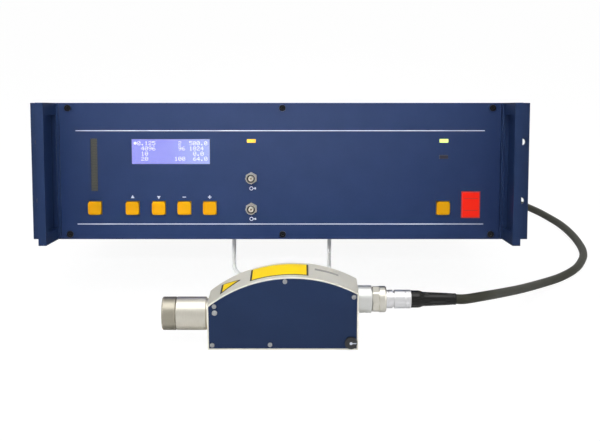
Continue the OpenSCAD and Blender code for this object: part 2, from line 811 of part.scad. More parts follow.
module socket(in, body_l) {
    rod_x(spigot_d, -in, spigot_end);
    rod_x(socket_d, 0, body_l);
}
module plug() {
    rod_x(plug_flange_d, spigot_end, spigot_end + plug_flange_t);
    rod_x(neck_d, spigot_end + plug_flange_t, neck_end);
    rod_x(groove_d, neck_end, groove_end);
    rod_x(plug_d, groove_end, plug_end);
    translate([plug_end, 0, 0]) rotate([0, 90, 0]) cylinder(d1 = plug_d, d2 = boot_tip_d, h = boot_l);
}
module coupling_nut() {
    flat_l = (nut_end - nut_start) / 2;
    shoulder = spigot_end + plug_flange_t + nut_shoulder;
    difference() {
        union() {
            rod_x(nut_d * nut_flat_share, nut_start, nut_end);
            rod_x(nut_d, nut_start + flat_l, nut_end - over);
            intersection() {
                rod_x(nut_d, nut_start, nut_start + flat_l);
                translate([nut_start, 0, 0]) rotate([0, 90, 0])
                    cylinder(d = nut_d / cos(180 / nut_flats) * nut_flat_share, h = flat_l, $fn = nut_flats);
            }
        }
        rod_x(spigot_d + 2 * slip, nut_start - over, shoulder);
        rod_x(neck_d + 2 * running, nut_start, nut_end + over);
    }
}
module at_head_plug() { at_head() translate([head_len, head_d / 2, plug_z]) children(); }
module at_rear_plug() {
    at_controller() translate([socket_place[0], case_d, socket_place[1]]) rotate([0, 0, 90]) children();
}

module rear_socket() { color("#b9bab8") at_rear_plug() socket(rear_t + socket_in, socket_l / 2); }
module head_socket() { color("#c8c6bd") at_head_plug() socket(shell_t + socket_in, socket_l); }
module plugs() {
    color("#b2b1ab") {
        at_head_plug() plug();
        at_rear_plug() plug();
    }
}
module head_nut() { color("#c2c0b8") at_head_plug() coupling_nut(); }
module rear_nut() { color("#c2c0b8") at_rear_plug() coupling_nut(); }

// Sensor head

module head_profile(inset, low) {
    intersection() {
        translate([arch_x, arch_top - arch_r]) circle(r = arch_r - inset, $fn = 180);
        translate([inset, low]) square([head_len - 2 * inset, arch_top]);
    }
}
module head_extrusion(inset, low, y0, y1) {
    translate([0, y1, 0]) rotate([90, 0, 0]) linear_extrude(y1 - y0) head_profile(inset, low);
}

module plate_recesses() {
    deep = plate_t - plate_proud;
    head_extrusion(rim, rim, -over, deep);
    head_extrusion(rim, rim, head_d - deep, head_d + over);
}

module head_shell() {
    color("#c8c5b9") at_head() difference() {
        union() {
            difference() {
                head_extrusion(0, base_t, 0, head_d);
                head_extrusion(shell_t, base_t - over, -over, head_d + over);
            }
            for (p = plate_screw_places) if (p[1] > base_t) at_place(p) {
                rod_y(boss_d, 0, plate_shank_l + over);
                rod_y(boss_d, head_d - plate_shank_l - over, head_d);
            }
        }
        plate_recesses();
        for (p = plate_screw_places) at_place(p) rod_y(plate_shank_d + slip, -over, head_d + over);
        translate([0, head_d / 2, lens_z]) rod_x(barrel_neck_d, -over, shell_t + over);
        translate([0, head_d / 2, plug_z]) rod_x(spigot_d, head_len - shell_t - over, head_len + over);
        translate([arch_x, slot_mark_y[0], arch_top - arch_r]) difference() {
            translate([slot_mark_x[0] - arch_x, 0, 0]) cube([slot_mark_x[1] - slot_mark_x[0],
                slot_mark_y[1] - slot_mark_y[0], arch_r + over]);
            translate([0, -over, 0]) rod_y(2 * (arch_r - slot_mark_deep), 0, head_d, $fn = 180);
        }
    }
}

module head_base() {
    color("#bdbbb1") at_head() difference() {
        cube([head_len, head_d, base_t]);
        plate_recesses();
        for (p = plate_screw_places) at_place(p) rod_y(plate_shank_d + slip, -over, head_d + over);
        at_place(knob_place) rod_y(knob_shaft_d + 2 * running, -over, arm_y);
        translate([thread_x, head_d / 2, -over]) cylinder(d = thread_d, h = thread_depth + over);
        translate([knob_place[0] - flag_l - flag_w, arm_y - over, knob_place[1] - flag_w / 2 - over])
            cube([flag_l + 2 * flag_w, flag_t + 2 * over, base_t]);
    }
}

module head_side_plates() {
    color("#26304f") at_head() difference() {
        for (y = [[-plate_proud, plate_t - plate_proud], [head_d - plate_t + plate_proud, head_d + plate_proud]])
            head_extrusion(rim + plate_gap, rim + plate_gap, y[0], y[1]);
        for (p = plate_screw_places) at_place(p) rod_y(plate_shank_d + slip, -over, head_d + over);
        at_place(dowel_place) rod_y(plate_shank_d + slip, -over, plate_t + over);
        at_place(knob_place) rod_y(knob_shaft_d + 2 * running, -over, plate_t + over);
    }
}

module plate_screws() {
    color("#8a8c8e") at_head() {
        for (p = plate_screw_places) at_place(p) {
            rod_y(plate_head_d, -plate_proud - plate_head_t, -plate_proud);
            rod_y(plate_shank_d, -plate_proud, plate_shank_l);
            rod_y(plate_head_d, head_d + plate_proud, head_d + plate_proud + plate_head_t);
            rod_y(plate_shank_d, head_d - plate_shank_l, head_d + plate_proud);
        }
        at_place(dowel_place) {
            rod_y(dowel_d, -plate_proud - plate_head_t, -plate_proud);
            rod_y(plate_shank_d, -plate_proud, plate_t - plate_proud);
        }
    }
}

// Shutter: knob, shaft and the arm that swings into the beam
module shutter_knob() {
    color("#151617") at_head() at_place(knob_place) {
        rod_y(knob_d, -knob_proud, -plate_proud - slip);
        rod_y(knob_shaft_d, -knob_proud, arm_y + flag_t);
        translate([0, arm_y, 0]) rotate([0, -flag_angle, 0])
            translate([0, 0, -flag_w / 2]) cube([flag_l, flag_t, flag_w]);
    }
}

// Yellow plates on the arch: a long one and a triangular one
module label_plates() {
    arch_z = arch_top - arch_r;
    color("#f2cf1b") at_head() difference() {
        translate([arch_x, 0, arch_z]) intersection() {
            rod_y(2 * (arch_r + label_t), 0, head_d, $fn = 360);
            union() {
                translate([label_x[0] - arch_x, label_y[0], 0])
                    cube([label_x[1] - label_x[0], label_y[1] - label_y[0], 2 * arch_r]);
                translate([-arch_x, 0, 0]) linear_extrude(2 * arch_r) polygon([
                    [triangle_x[0], triangle_y[0]], [triangle_x[1], (triangle_y[0] + triangle_y[1]) / 2],
                    [triangle_x[0], triangle_y[1]]
                ]);
            }
        }
        translate([arch_x, -over, arch_z]) rod_y(2 * (arch_r + running), 0, head_d + 2 * over, $fn = 360);
    }
}

// Lens end, along -X from the head's left face: the axis is turned so that distances grow outwards
module at_lens() { at_head() translate([0, head_d / 2, lens_z]) scale([-1, 1, 1]) children(); }

module lens_barrel() {
    color("#c6c4bb") at_lens() difference() {
        union() {
            rod_x(barrel_neck_d, -barrel_in, neck_gap);
            rod_x(barrel_d, neck_gap, barrel_end);
            rod_x(ring_seat_d, barrel_end, ring_seat_end);
        }
        rod_x(lens_bore, -barrel_in - over, ring_seat_end + over);
    }
}

module focus_ring() {
    color("#bab7ad") at_lens() difference() {
        rod_x(barrel_d, barrel_end + ring_gap, ring_end);
        rod_x(ring_seat_d + 2 * running, barrel_end, ring_end - ring_lip_t);
        rod_x(ring_lip_d, barrel_end, ring_end + over);
    }
}

module lens_carriage() {
    outer = lens_bore - 2 * slip;
    color("#2a2b2d") at_lens() difference() {
        rod_x(outer, carriage_back, carriage_front);
        rod_x(outer - 2 * carriage_wall, carriage_back - over, carriage_front + over);
        rod_x(lens_d, carriage_front - lens_seat, carriage_front + over);
    }
}

// Front lens: flat behind, bulging in front
module front_lens() {
    cap_r = (lens_d * lens_d / 4 + lens_bulge * lens_bulge) / (2 * lens_bulge);
    color("#5a3a5e", 0.7) at_lens() intersection() {
        rod_x(lens_d, carriage_front - lens_seat, carriage_front + lens_t);
        translate([carriage_front - cap_r + lens_bulge, 0, 0]) sphere(r = cap_r, $fn = 96);
    }
}

// Bench with its laser tube, beam splitters, modulator and photodetectors
module optics_bench() {
    bench_x0 = barrel_in + bench_gap;
    bench_l = head_len - shell_t - bench_x0 - socket_in - 2 * bench_gap - knob_d;
    mid = head_d / 2;
    color("#9fa2a6") at_head() {
        translate([bench_x0, plate_t + bench_gap, base_t])
            cube([bench_l, head_d - 2 * (plate_t + bench_gap), bench_t]);
        for (x = splitter_shares) translate([bench_x0 + x * bench_l, mid - splitter_size / 2, base_t + bench_t])
            cube([splitter_size, splitter_size, lens_z - base_t - bench_t + splitter_size / 2]);
        for (x = [-1, 1])
            translate([bench_x0 + (bench_l + x * (laser_l - bench_t) - bench_t) / 2, mid - splitter_size / 2, base_t + bench_t])
                cube([bench_t, splitter_size, plug_z - base_t]);
        translate([bench_x0 + (bench_l - laser_l) / 2, mid, plug_z + bench_t]) rod_x(laser_d, 0, laser_l);
    }
}

// Cable

// Sweeps a many-sided tube along points; the first and last rings stand square to their neighbours
function unit(v) = v / norm(v);
function smooth(p, n) = [
    for (i = [0 : len(p) - 2], k = [0 : n - 1]) let (
        a = p[max(i - 1, 0)], b = p[i], c = p[i + 1], d = p[min(i + 2, len(p) - 1)], t = k / n
    ) 0.5 * ((2 * b) + (c - a) * t + (2 * a - 5 * b + 4 * c - d) * t * t + (3 * b - a - 3 * c + d) * t * t * t),
    p[len(p) - 1]
];
function heading(p, i) = unit(p[min(i + 1, len(p) - 1)] - p[max(i - 1, 0)]);
function ring_points(c, dir, r, sides) = let (
    side = unit(cross([0, 0, 1], dir)), up = cross(dir, side)
) [for (k = [0 : sides - 1]) c + r * (cos(360 * (k + 0.5) / sides) * side + sin(360 * (k + 0.5) / sides) * up)];
module tube(p, first, last, d, sides) {
    n = len(p);
    rings = [
        for (i = [0 : n - 1]) each ring_points(p[i], i == 0 ? first : i == n - 1 ? last : heading(p, i), d / 2, sides)
    ];
    sides_faces = [
        for (i = [0 : n - 2], k = [0 : sides - 1]) let (a = i * sides + k, b = i * sides + (k + 1) % sides)
            each [[a, a + sides, b], [b, a + sides, b + sides]]
    ];
    start_fan = [for (k = [1 : sides - 2]) [0, k, k + 1]];
    end_fan = [for (k = [1 : sides - 2]) [(n - 1) * sides, (n - 1) * sides + k + 1, (n - 1) * sides + k]];
    polyhedron(points = rings, faces = concat(sides_faces, start_fan, end_fan));
}

// Coil: spirals in on the table, climbs in the half turn where it reverses, and spirals out on top.
// Angles are counted in turns; the lower layer starts on the far side and runs anticlockwise.
coil_rings = 24;
coil_start = 90;
coil_sides = 6;
coil_turns = 2 * coil_loops;
coil_climb = 0.5;
coil_half_turn = 0.5;
coil_layer = coil_pitch;
function coil_radius(t) = coil_outer - coil_pitch * (t <= coil_loops ? t : coil_turns - t);
function coil_height(t) = rest_z + coil_layer * min(max((t - coil_loops) / coil_climb + coil_half_turn, 0), 1);
function coil_point(t) = let (a = coil_start + 360 * t) [
    coil_centre[0] + coil_radius(t) * cos(a), coil_centre[1] + coil_radius(t) * sin(a), coil_height(t)
];
coil_end_turn = coil_turns + coil_half_turn;
coil_curve = [for (i = [0 : coil_rings * coil_end_turn]) coil_point(i / coil_rings)];
coil_start_way = [1, 0, 0];
coil_end_way = [1, 0, 0];
coil_path = concat(
    [coil_curve[0] + cable_d * coil_start_way],
    coil_curve,
    [coil_curve[len(coil_curve) - 1] + cable_d * coil_end_way]
);
coil_first = coil_path[0];
coil_last = coil_path[len(coil_path) - 1];

// Least gap between turns, measured on the points of the curve that lie over half a loop apart
coil_self_gap = min([
    for (i = [0 : len(coil_curve) - 1]) for (j = [i + coil_rings / 2 : 1 : len(coil_curve) - 1])
        norm(coil_curve[i] - coil_curve[j])
]) - cable_d;

route_start = [head_exit, head_exit + [cable_d, 0, 0]];
cable_route = concat(route_start, route_middle, [coil_last + [cable_d, 0, 0], coil_last]);
tail_route = concat(
    [rear_exit, rear_exit + cable_d * rear_way],
    tail_middle,
    [coil_first + [cable_d, 0, 0], coil_first]
);
function path_length(p) = len(p) < 2 ? 0 : let (
    s = [for (i = [0 : len(p) - 2]) norm(p[i + 1] - p[i])]
) s * [for (v = s) 1];

module sensor_cable() {
    color("#3e413c") {
        tube(smooth(cable_route, 2), [1, 0, 0], [-1, 0, 0], cable_d, 10);
        tube(smooth(tail_route, 2), rear_way, [-1, 0, 0], cable_d, 10);
    }
}
module cable_coil() { color("#3e413c") tube(coil_path, -coil_start_way, coil_end_way, cable_d, coil_sides); }

echo(coil_self_gap = coil_self_gap);
free_length = path_length(smooth(cable_route, 2));
tail_length = path_length(smooth(tail_route, 2));
echo(cable_length = free_length + tail_length + path_length(coil_path));

front_panel();
rack_bracket_left();
rack_bracket_right();
side_plate_left();
side_plate_right();
front_rails();
rear_rails();
top_cover();
bottom_cover();
rear_panel();
case_screws();
panel_screws();
case_feet();
bail_clips();
tilt_bail();
display_window();
display_module();
front_board();
board_pillars();
bar_display();
bar_segments();
button_switches();
clear_button();
up_button();
down_button();
minus_button();
plus_button();
laser_button();
over_lamp();
emission_lamp();
standby_lamp();
coax_jacks();
jack_insulators();
jack_contacts();
power_switch_body();
power_switch_cap();
mains_inlet();
fan_housing();
fan_rotor();
fan_guard();
power_supply();
main_board();
rear_socket();
head_shell();
head_base();
head_side_plates();
plate_screws();
shutter_knob();
label_plates();
lens_barrel();
focus_ring();
lens_carriage();
front_lens();
optics_bench();
head_socket();
plugs();
head_nut();
rear_nut();
sensor_cable();
cable_coil();
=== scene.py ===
"""Looks of the laser vibrometer: a rack controller on its bail, an arched sensor head and the cable between them.

Pieces are modelled in millimetres in their own unit's frame, as in the CAD source, and one matrix then puts each
in place: the controller's pieces round the middle of its tilted panel, the head's round its lower left corner.
"""

import json
import math

import bpy
from mathutils import Matrix, Vector

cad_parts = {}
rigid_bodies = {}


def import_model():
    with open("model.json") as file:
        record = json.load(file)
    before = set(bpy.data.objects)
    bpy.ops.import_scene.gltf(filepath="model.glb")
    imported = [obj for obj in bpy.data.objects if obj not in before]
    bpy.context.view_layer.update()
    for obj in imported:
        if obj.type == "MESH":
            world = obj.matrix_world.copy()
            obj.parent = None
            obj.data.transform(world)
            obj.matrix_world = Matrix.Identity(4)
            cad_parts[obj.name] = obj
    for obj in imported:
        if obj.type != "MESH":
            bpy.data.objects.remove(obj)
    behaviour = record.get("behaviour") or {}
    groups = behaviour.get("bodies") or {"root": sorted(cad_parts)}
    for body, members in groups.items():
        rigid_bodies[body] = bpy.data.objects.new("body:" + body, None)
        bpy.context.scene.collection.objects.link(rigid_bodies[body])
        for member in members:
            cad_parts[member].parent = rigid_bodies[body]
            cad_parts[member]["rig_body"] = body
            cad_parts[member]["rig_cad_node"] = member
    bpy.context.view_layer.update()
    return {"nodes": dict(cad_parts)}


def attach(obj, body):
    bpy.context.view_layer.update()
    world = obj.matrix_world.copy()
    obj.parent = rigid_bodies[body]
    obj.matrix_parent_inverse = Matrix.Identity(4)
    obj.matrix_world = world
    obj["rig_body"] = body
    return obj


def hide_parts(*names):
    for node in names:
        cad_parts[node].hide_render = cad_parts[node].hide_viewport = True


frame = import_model()

MM = 0.001
CASE_DEPTH = 352
TILT = math.radians(8.9)
PANEL_MIDDLE = (0, -107.563, 126.063)
HEAD_CORNER = (-61, -255.563, 0)

MILLIMETRES = Matrix.Scale(MM, 4)
CONTROLLER = MILLIMETRES @ Matrix.Translation(PANEL_MIDDLE) @ Matrix.Rotation(-TILT, 4, "X")
HEAD = MILLIMETRES @ Matrix.Translation(HEAD_CORNER)

# Turns that lay a piece made along +Z in another direction
TOWARDS_VIEWER = Matrix.Rotation(math.radians(90), 4, "X")
TO_THE_RIGHT = Matrix.Rotation(math.radians(90), 4, "Y")
TO_THE_LEFT = Matrix.Rotation(math.radians(-90), 4, "Y")
TO_THE_REAR = Matrix.Rotation(math.radians(-90), 4, "X")


# Camera, as the photograph was taken

CAMERA_PLACE = (0.01916, -1.12556, 0.348)
CAMERA_DOWN = math.radians(14.92)
CAMERA_LENS = 64.29
SENSOR_WIDTH = 36

bpy.ops.object.camera_add(location=CAMERA_PLACE, rotation=(math.radians(90) - CAMERA_DOWN, 0, 0))
camera = bpy.context.active_object
camera.data.lens = CAMERA_LENS
camera.data.sensor_width = SENSOR_WIDTH
bpy.context.scene.camera = camera


# Sensor cable: the same route as in the CAD source

CABLE_D = 8.7
HEAD_EXIT = Vector((155.8, -234.313, 39.2))
REAR_EXIT = Vector((170, 322.576, 40.486))
REAR_WAY = Vector((0, math.cos(TILT), -math.sin(TILT)))
ROUTE_MIDDLE = [
    (185.5, -217.4, 36.5), (206.2, -187.1, 29), (232.4, -146, 19), (263.1, -98.7, 9), (290, -64.6, 4.4),
    (312.5, -35.8, 4.4), (328, -3.1, 4.4), (336.2, 24.3, 4.4), (340.5, 58.1, 4.4), (341.7, 101.2, 4.4),
    (338.8, 144.5, 4.4), (331, 184, 4.4), (323, 214, 4.4), (310, 246, 4.4), (288, 274, 4.4), (256, 291, 4.4),
    (220, 297, 4.4), (180, 298, 4.6), (140, 298, 6), (104, 298, 10),
]
TAIL_MIDDLE = [(170, 344, 36), (169, 366, 28), (163, 388, 16), (150, 404, 7), (130, 414, 4.4), (104, 417.5, 4.4)]
COIL_CENTRE = (60, 357)
COIL_LOOPS = 3
COIL_PITCH = 9.4
COIL_OUTER = 61.75
COIL_REST = 4.4
COIL_CLIMB = 0.5
COIL_TURNS = 2 * COIL_LOOPS + 0.5
COIL_STEPS = 48
ROUTE_STEPS = 6
JACKET_BEVEL = 5


def smooth_line(points):
    """A smooth curve through points, with a few steps from each one to the next."""
    points = [Vector(p) for p in points]
    line = []
    for i in range(len(points) - 1):
        a, b, c, d = points[max(i - 1, 0)], points[i], points[i + 1], points[min(i + 2, len(points) - 1)]
        for k in range(ROUTE_STEPS):
            t = k / ROUTE_STEPS
            square, cube = 2 * a - 5 * b + 4 * c - d, 3 * b - a - 3 * c + d
            line.append(0.5 * (2 * b + (c - a) * t + square * t ** 2 + cube * t ** 3))
    return line + [points[-1]]


def coil_point(turn):
    """A point of the coil: it spirals in on the table, climbs half a turn and spirals out on top."""
    angle = math.radians(90 + 360 * turn)
    radius = COIL_OUTER - COIL_PITCH * (turn if turn <= COIL_LOOPS else 2 * COIL_LOOPS - turn)
    lift = min(max((turn - COIL_LOOPS) / COIL_CLIMB + 0.5, 0), 1)
    x, y = COIL_CENTRE
    return Vector((x + radius * math.cos(angle), y + radius * math.sin(angle), COIL_REST + COIL_PITCH * lift))


def cable_line():
    """The whole cable's centreline, from the head's plug round the controller and through the coil to the rear plug."""
    ahead = Vector((CABLE_D, 0, 0))
    count = round(COIL_TURNS * COIL_STEPS)
    coil = [coil_point(COIL_TURNS * i / count) for i in range(count, -1, -1)]
    over_table = [HEAD_EXIT, HEAD_EXIT + ahead, *ROUTE_MIDDLE, coil[0] + 2 * ahead, coil[0] + ahead]
    tail = [coil[-1] + ahead, coil[-1] + 2 * ahead, *TAIL_MIDDLE[::-1], REAR_EXIT + CABLE_D * REAR_WAY, REAR_EXIT]
    return smooth_line(over_table) + coil + smooth_line(tail)


def laid_cable():
    """The jacketed cable as one curve."""
    line = cable_line()
    curve = bpy.data.curves.new("sensor_lead", "CURVE")
    curve.dimensions = "3D"
    curve.bevel_depth = CABLE_D / 2 * MM
    curve.bevel_resolution = JACKET_BEVEL
    curve.use_fill_caps = True
    spline = curve.splines.new("POLY")
    spline.points.add(len(line) - 1)
    for point, place in zip(spline.points, line):
        point.co = (*(place * MM), 1)
    piece = bpy.data.objects.new("sensor_lead", curve)
    bpy.context.scene.collection.objects.link(piece)
    return piece


# Finishes

def linear(code):
    """The linear colour of an sRGB hex value."""
    parts = [int(code[i:i + 2], 16) / 255 for i in (1, 3, 5)]
    return (*[c / 12.92 if c <= 0.04045 else ((c + 0.055) / 1.055) ** 2.4 for c in parts], 1)


def add_node(owner, kind, sockets=None, **settings):
    """Adds a node; sockets gives its inputs by name or number, each a value or another node's output."""
    tree = owner.node_tree
    node = tree.nodes.new(kind)
    for name, value in settings.items():
        setattr(node, name, value)
    for name, value in (sockets or {}).items():
        if isinstance(value, bpy.types.NodeSocket):
            tree.links.new(value, node.inputs[name])
        else:
            node.inputs[name].default_value = value
    return node


def maths(owner, operation, a, b):
    """The output of one operation on two values or outputs."""
    return add_node(owner, "ShaderNodeMath", {0: a, 1: b}, operation=operation).outputs["Value"]


def mapped(owner, value, start, end, **settings):
    """An output that runs from 0 to 1 while a value runs from start to end."""
    sockets = {"Value": value, "From Min": start, "From Max": end}
    return add_node(owner, "ShaderNodeMapRange", sockets, **settings).outputs["Result"]


def mixed(owner, share, first, second):
    """The output of a mix of two colours; a mix node has its colours at inputs 6 and 7, and the result at output 2."""
    return add_node(owner, "ShaderNodeMix", {0: share, 6: first, 7: second}, data_type="RGBA").outputs[2]


# Noise values between which the first colour gives way to the second, and between which the gloss changes
PATCH_START, PATCH_END = 0.12, 0.42
GLOSS_START, GLOSS_END = 0.2, 0.8
# Least and greatest roughness, as shares of the finish's own
SMOOTHER, ROUGHER = 0.82, 1.2
GRAIN_DETAIL, PATCH_DETAIL = 3.0, 4.0
BUMP_STRENGTH = 0.6


def surface(name, colour, rough, second=None, metal=0.0, grain=1.0, depth=0.02, patch=25, stretch=(1, 1, 1), **own):
    """A finish whose colour wanders to a second one in patches, with a grain that lifts it and varies its gloss.

    Grain and patch are sizes in millimetres, depth is the grain's height, and own sets more of the shader's sockets.
    """
    material = bpy.data.materials.new(name)
    material.use_nodes = True
    shader = material.node_tree.nodes["Principled BSDF"]
    shader.inputs["Metallic"].default_value = metal
    for socket, value in own.items():
        shader.inputs[socket.replace("_", " ")].default_value = value
    place = add_node(material, "ShaderNodeTexCoord").outputs["Object"]
    lengths = [k / (grain * MM) for k in stretch]
    along = add_node(material, "ShaderNodeMapping", {"Vector": place, "Scale": lengths}).outputs["Vector"]
    fine, broad = (
        add_node(material, "ShaderNodeTexNoise", {"Vector": at, "Scale": scale, "Detail": detail}).outputs["Fac"]
        for at, scale, detail in ((along, 1.0, GRAIN_DETAIL), (place, 1 / (patch * MM), PATCH_DETAIL))
    )
    share = mapped(material, maths(material, "MULTIPLY", fine, broad), PATCH_START, PATCH_END)
    both = mixed(material, share, linear(colour), linear(second or colour))
    gloss = add_node(material, "ShaderNodeMapRange", {
        "Value": fine, "From Min": GLOSS_START, "From Max": GLOSS_END,
        "To Min": rough * SMOOTHER, "To Max": min(rough * ROUGHER, 1),
    })
    lift = add_node(material, "ShaderNodeBump", {"Height": fine, "Strength": BUMP_STRENGTH, "Distance": depth * MM})
    links = material.node_tree.links
    links.new(both, shader.inputs["Base Color"])
    links.new(gloss.outputs["Result"], shader.inputs["Roughness"])
    links.new(lift.outputs["Normal"], shader.inputs["Normal"])
    return material


# Polyester powder coat, baked: satin, with a fine orange peel that is drawn coarser than the real 0.3 mm
panel_coat = surface("navy_powder_coat", "#182a50", 0.42, "#1c2e55", grain=0.7, depth=0.03, Specular_IOR_Level=0.16)
bracket_coat = surface("bracket_powder_coat", "#16284a", 0.42, "#1a2c4f", grain=0.7, depth=0.03,
                       Specular_IOR_Level=0.16)
cover_coat = surface("cover_textured_coat", "#27304a", 0.55, "#2f3852", grain=1.2, depth=0.08)
# Rolled aluminium, left bare: long fine scratches along the sheet
mill_aluminium = surface("rolled_aluminium", "#b3b6ba", 0.38, "#c3c6c9", metal=1.0, grain=0.6, depth=0.02,
                         stretch=(1, 0.06, 1))
# Clear anodised sheet: even, a little milky
rear_anodised = surface("clear_anodised_sheet", "#c2c4c6", 0.45, "#cfd0d2", metal=1.0, grain=0.5, depth=0.01,
                        stretch=(0.08, 1, 1))
# Steel screws in black oxide: near black with a dull shine
black_oxide = surface("black_oxide_steel", "#0c0c0d", 0.3, "#141415", metal=0.6, grain=0.5, depth=0.01)
# Moulded nitrile rubber: matt and dark
foot_rubber = surface("nitrile_rubber", "#191a1b", 0.75, "#232425", grain=0.8, depth=0.05)
# Moulded ABS: black with a spark-eroded skin
black_moulding = surface("black_abs", "#1a1b1d", 0.5, "#222325", grain=0.5, depth=0.03)
# Drawn wire with bright zinc: smooth and pale
zinc_wire = surface("zinc_plated_wire", "#dcdee0", 0.25, "#eceef0", metal=1.0, grain=1.0, depth=0.01)
# The bail is wire as well, powder coated white
bail_coat = surface("white_powder_coat", "#e9eaea", 0.4, "#f2f2f2", grain=0.7, depth=0.02)
# Zinc plated sheet with its spangle
zinc_sheet = surface("zinc_plated_sheet", "#b7babd", 0.35, "#c8cbce", metal=1.0, grain=1.5, depth=0.01, patch=12)
# Cast acrylic window: clear, polished, with hardly any surface texture
acrylic = surface("clear_acrylic", "#f4f4ff", 0.04, grain=5, depth=0.001, Transmission_Weight=1.0, IOR=1.49)
# Glass-epoxy laminate under a green solder mask
laminate = surface("solder_mask_laminate", "#1f5a34", 0.35, "#2b6b3f", grain=0.9, depth=0.03, patch=6)
# Turned pillars between the boards
brass = surface("turned_brass", "#c9a24a", 0.3, "#d6b35e", metal=1.0, grain=0.4, depth=0.01)
# Smoked lens of the bar display, and its dark segments
smoked_lens = surface("smoked_lens", "#23261f", 0.3, "#292c25", grain=1.0, depth=0.005)
dark_segment = surface("dark_segment", "#33322a", 0.35, "#3b392f", grain=0.8, depth=0.005)
# Keycaps in amber ABS: even, with little shine
amber_abs = surface("amber_abs", "#bd8600", 0.4, "#c28d02", grain=0.8, depth=0.01, Specular_IOR_Level=0.08)
# Dark lens of a lamp that is off
unlit_lens = surface("unlit_lens", "#26242c", 0.4, "#2c2a32", grain=0.6, depth=0.005, Specular_IOR_Level=0.2)
# Satin nickel over machined brass, as on connectors
satin_nickel = surface("satin_nickel", "#cfccc2", 0.34, "#dad7cd", metal=1.0, grain=0.5, depth=0.006)
# Matt chrome of the plugs, and the turned polymer and gold inside the jacks, both darker than their own colour as
# painted shade
matt_chrome = surface("matt_chromed_plug", "#dcdcdd", 0.34, "#e6e6e8", metal=1.0, grain=0.4, depth=0.006)
white_ptfe = surface("turned_ptfe", "#bdb9ae", 0.4, "#c6c2b8", grain=0.4, depth=0.01)
# Gold darkened with painted shade, for the bottom of the deep jack
gold = surface("shaded_gold_contact", "#8a7a5a", 0.35, "#7a6a4c", metal=1.0, grain=0.4, depth=0.004)
# Red polycarbonate of the power switch
red_frame = surface("red_frame_plastic", "#c22216", 0.35, "#cc2a1c", grain=0.6, depth=0.01)
# The cap's faint red glow is painted light that brightens it
red_cap = surface("red_cap_plastic", "#d61c0a", 0.35, "#da2410", grain=0.6, depth=0.01, Specular_IOR_Level=0.1,
                  Emission_Strength=0.08, Emission_Color=linear("#ff2008"))
# Darker red of the cap's two grooves: painted shade
groove_painted_shade = surface("groove_painted_shade", "#a81a10", 0.5, "#981408", grain=0.6, depth=0.01)
# Satin anodised aluminium of the head's socket
socket_anodised = surface("satin_anodised_socket", "#d3d4d2", 0.42, "#dcdddb", metal=1.0, grain=0.4, depth=0.01)
# Aluminium, bead blasted and clear anodised: warm grey and matt, with a grit of about 0.15 mm drawn at 0.4
blasted = surface("bead_blasted_aluminium", "#e6e3d5", 0.5, "#efecdf", metal=0.5, grain=0.4, depth=0.02)
# The same metal turned on a lathe, with rings round its axis and a brighter shine, and knurled
turned_aluminium = surface("turned_aluminium", "#cdc9bd", 0.36, "#d8d4c9", metal=1.0, grain=0.5, depth=0.012,
                           stretch=(1, 0.1, 0.1))
knurled_aluminium = surface("knurled_aluminium", "#a39e90", 0.38, "#aea99b", metal=1.0, grain=0.5, depth=0.012)
# The head's own powder coat, a little darker than the panel's
head_coat = surface("head_side_coat", "#192947", 0.42, "#1d2d4c", grain=0.6, depth=0.02, Specular_IOR_Level=0.16)
# Small screws of plain steel
steel_screw = surface("plain_steel_screw", "#a5a6a6", 0.3, "#b9baba", metal=1.0, grain=0.5, depth=0.01)
# Anodised foil, printed yellow with a black edge
yellow_foil = surface("printed_yellow_foil", "#fbd400", 0.4, "#fdd908", grain=0.8, depth=0.008, Specular_IOR_Level=0.3)
black_print = surface("black_print", "#1c1a16", 0.5, "#26241e", grain=0.6, depth=0.004)
# Paint that fills the engraved mark, and the white print of the panel
grey_fill = surface("grey_paint_fill", "#9c9991", 0.6, "#a6a39b", grain=0.6, depth=0.01)
white_print = surface("white_screen_print", "#c3c8d6", 0.5, "#cdd1dd", grain=0.5, depth=0.004)
# Black anodised cell of the front lens
black_anodised = surface("black_anodised_aluminium", "#1d1d1f", 0.4, "#28282a", metal=0.8, grain=0.5, depth=0.01)
# Lens with a violet antireflection coating
coated_glass = surface("coated_lens_glass", "#e8d8f4", 0.02, grain=5, depth=0.001, Transmission_Weight=0.85, IOR=1.52,
                       Coat_Weight=0.6, Coat_Tint=linear("#8a5ad0"))
# Polyurethane jacket, extruded: dull, with a fine grain
jacket = surface("polyurethane_jacket", "#2a2a21", 0.5, "#343429", grain=1.2, depth=0.03, Specular_IOR_Level=0.25)
# Moulded strain relief: shiny black
boot_rubber = surface("glossy_boot_rubber", "#070807", 0.16, "#0c0d0c", grain=1.0, depth=0.002,
                      Specular_IOR_Level=0.32)


def lit(name, colour, edge, strength):
    """A lamp's lens or a backlight that glows from one colour to another across itself."""
    material = surface(name, colour, 0.25, edge, grain=1.2, depth=0.004, patch=8)
    shader = material.node_tree.nodes["Principled BSDF"]
    both = shader.inputs["Base Color"].links[0].from_socket
    material.node_tree.links.new(both, shader.inputs["Emission Color"])
    shader.inputs["Emission Strength"].default_value = strength
    return material


amber_light = lit("amber_lamp_lit", "#dca014", "#e6b63a", 0.27)
green_light = lit("green_lamp_lit", "#dcf070", "#eefc98", 0.33)
lcd_dots = lit("lcd_dots_lit", "#f2f0ff", "#ffffff", 0.8)


# Where the backlight turns from violet to pale blue, in metres from the middle of the panel
FADE_START, FADE_END = -0.115, -0.069


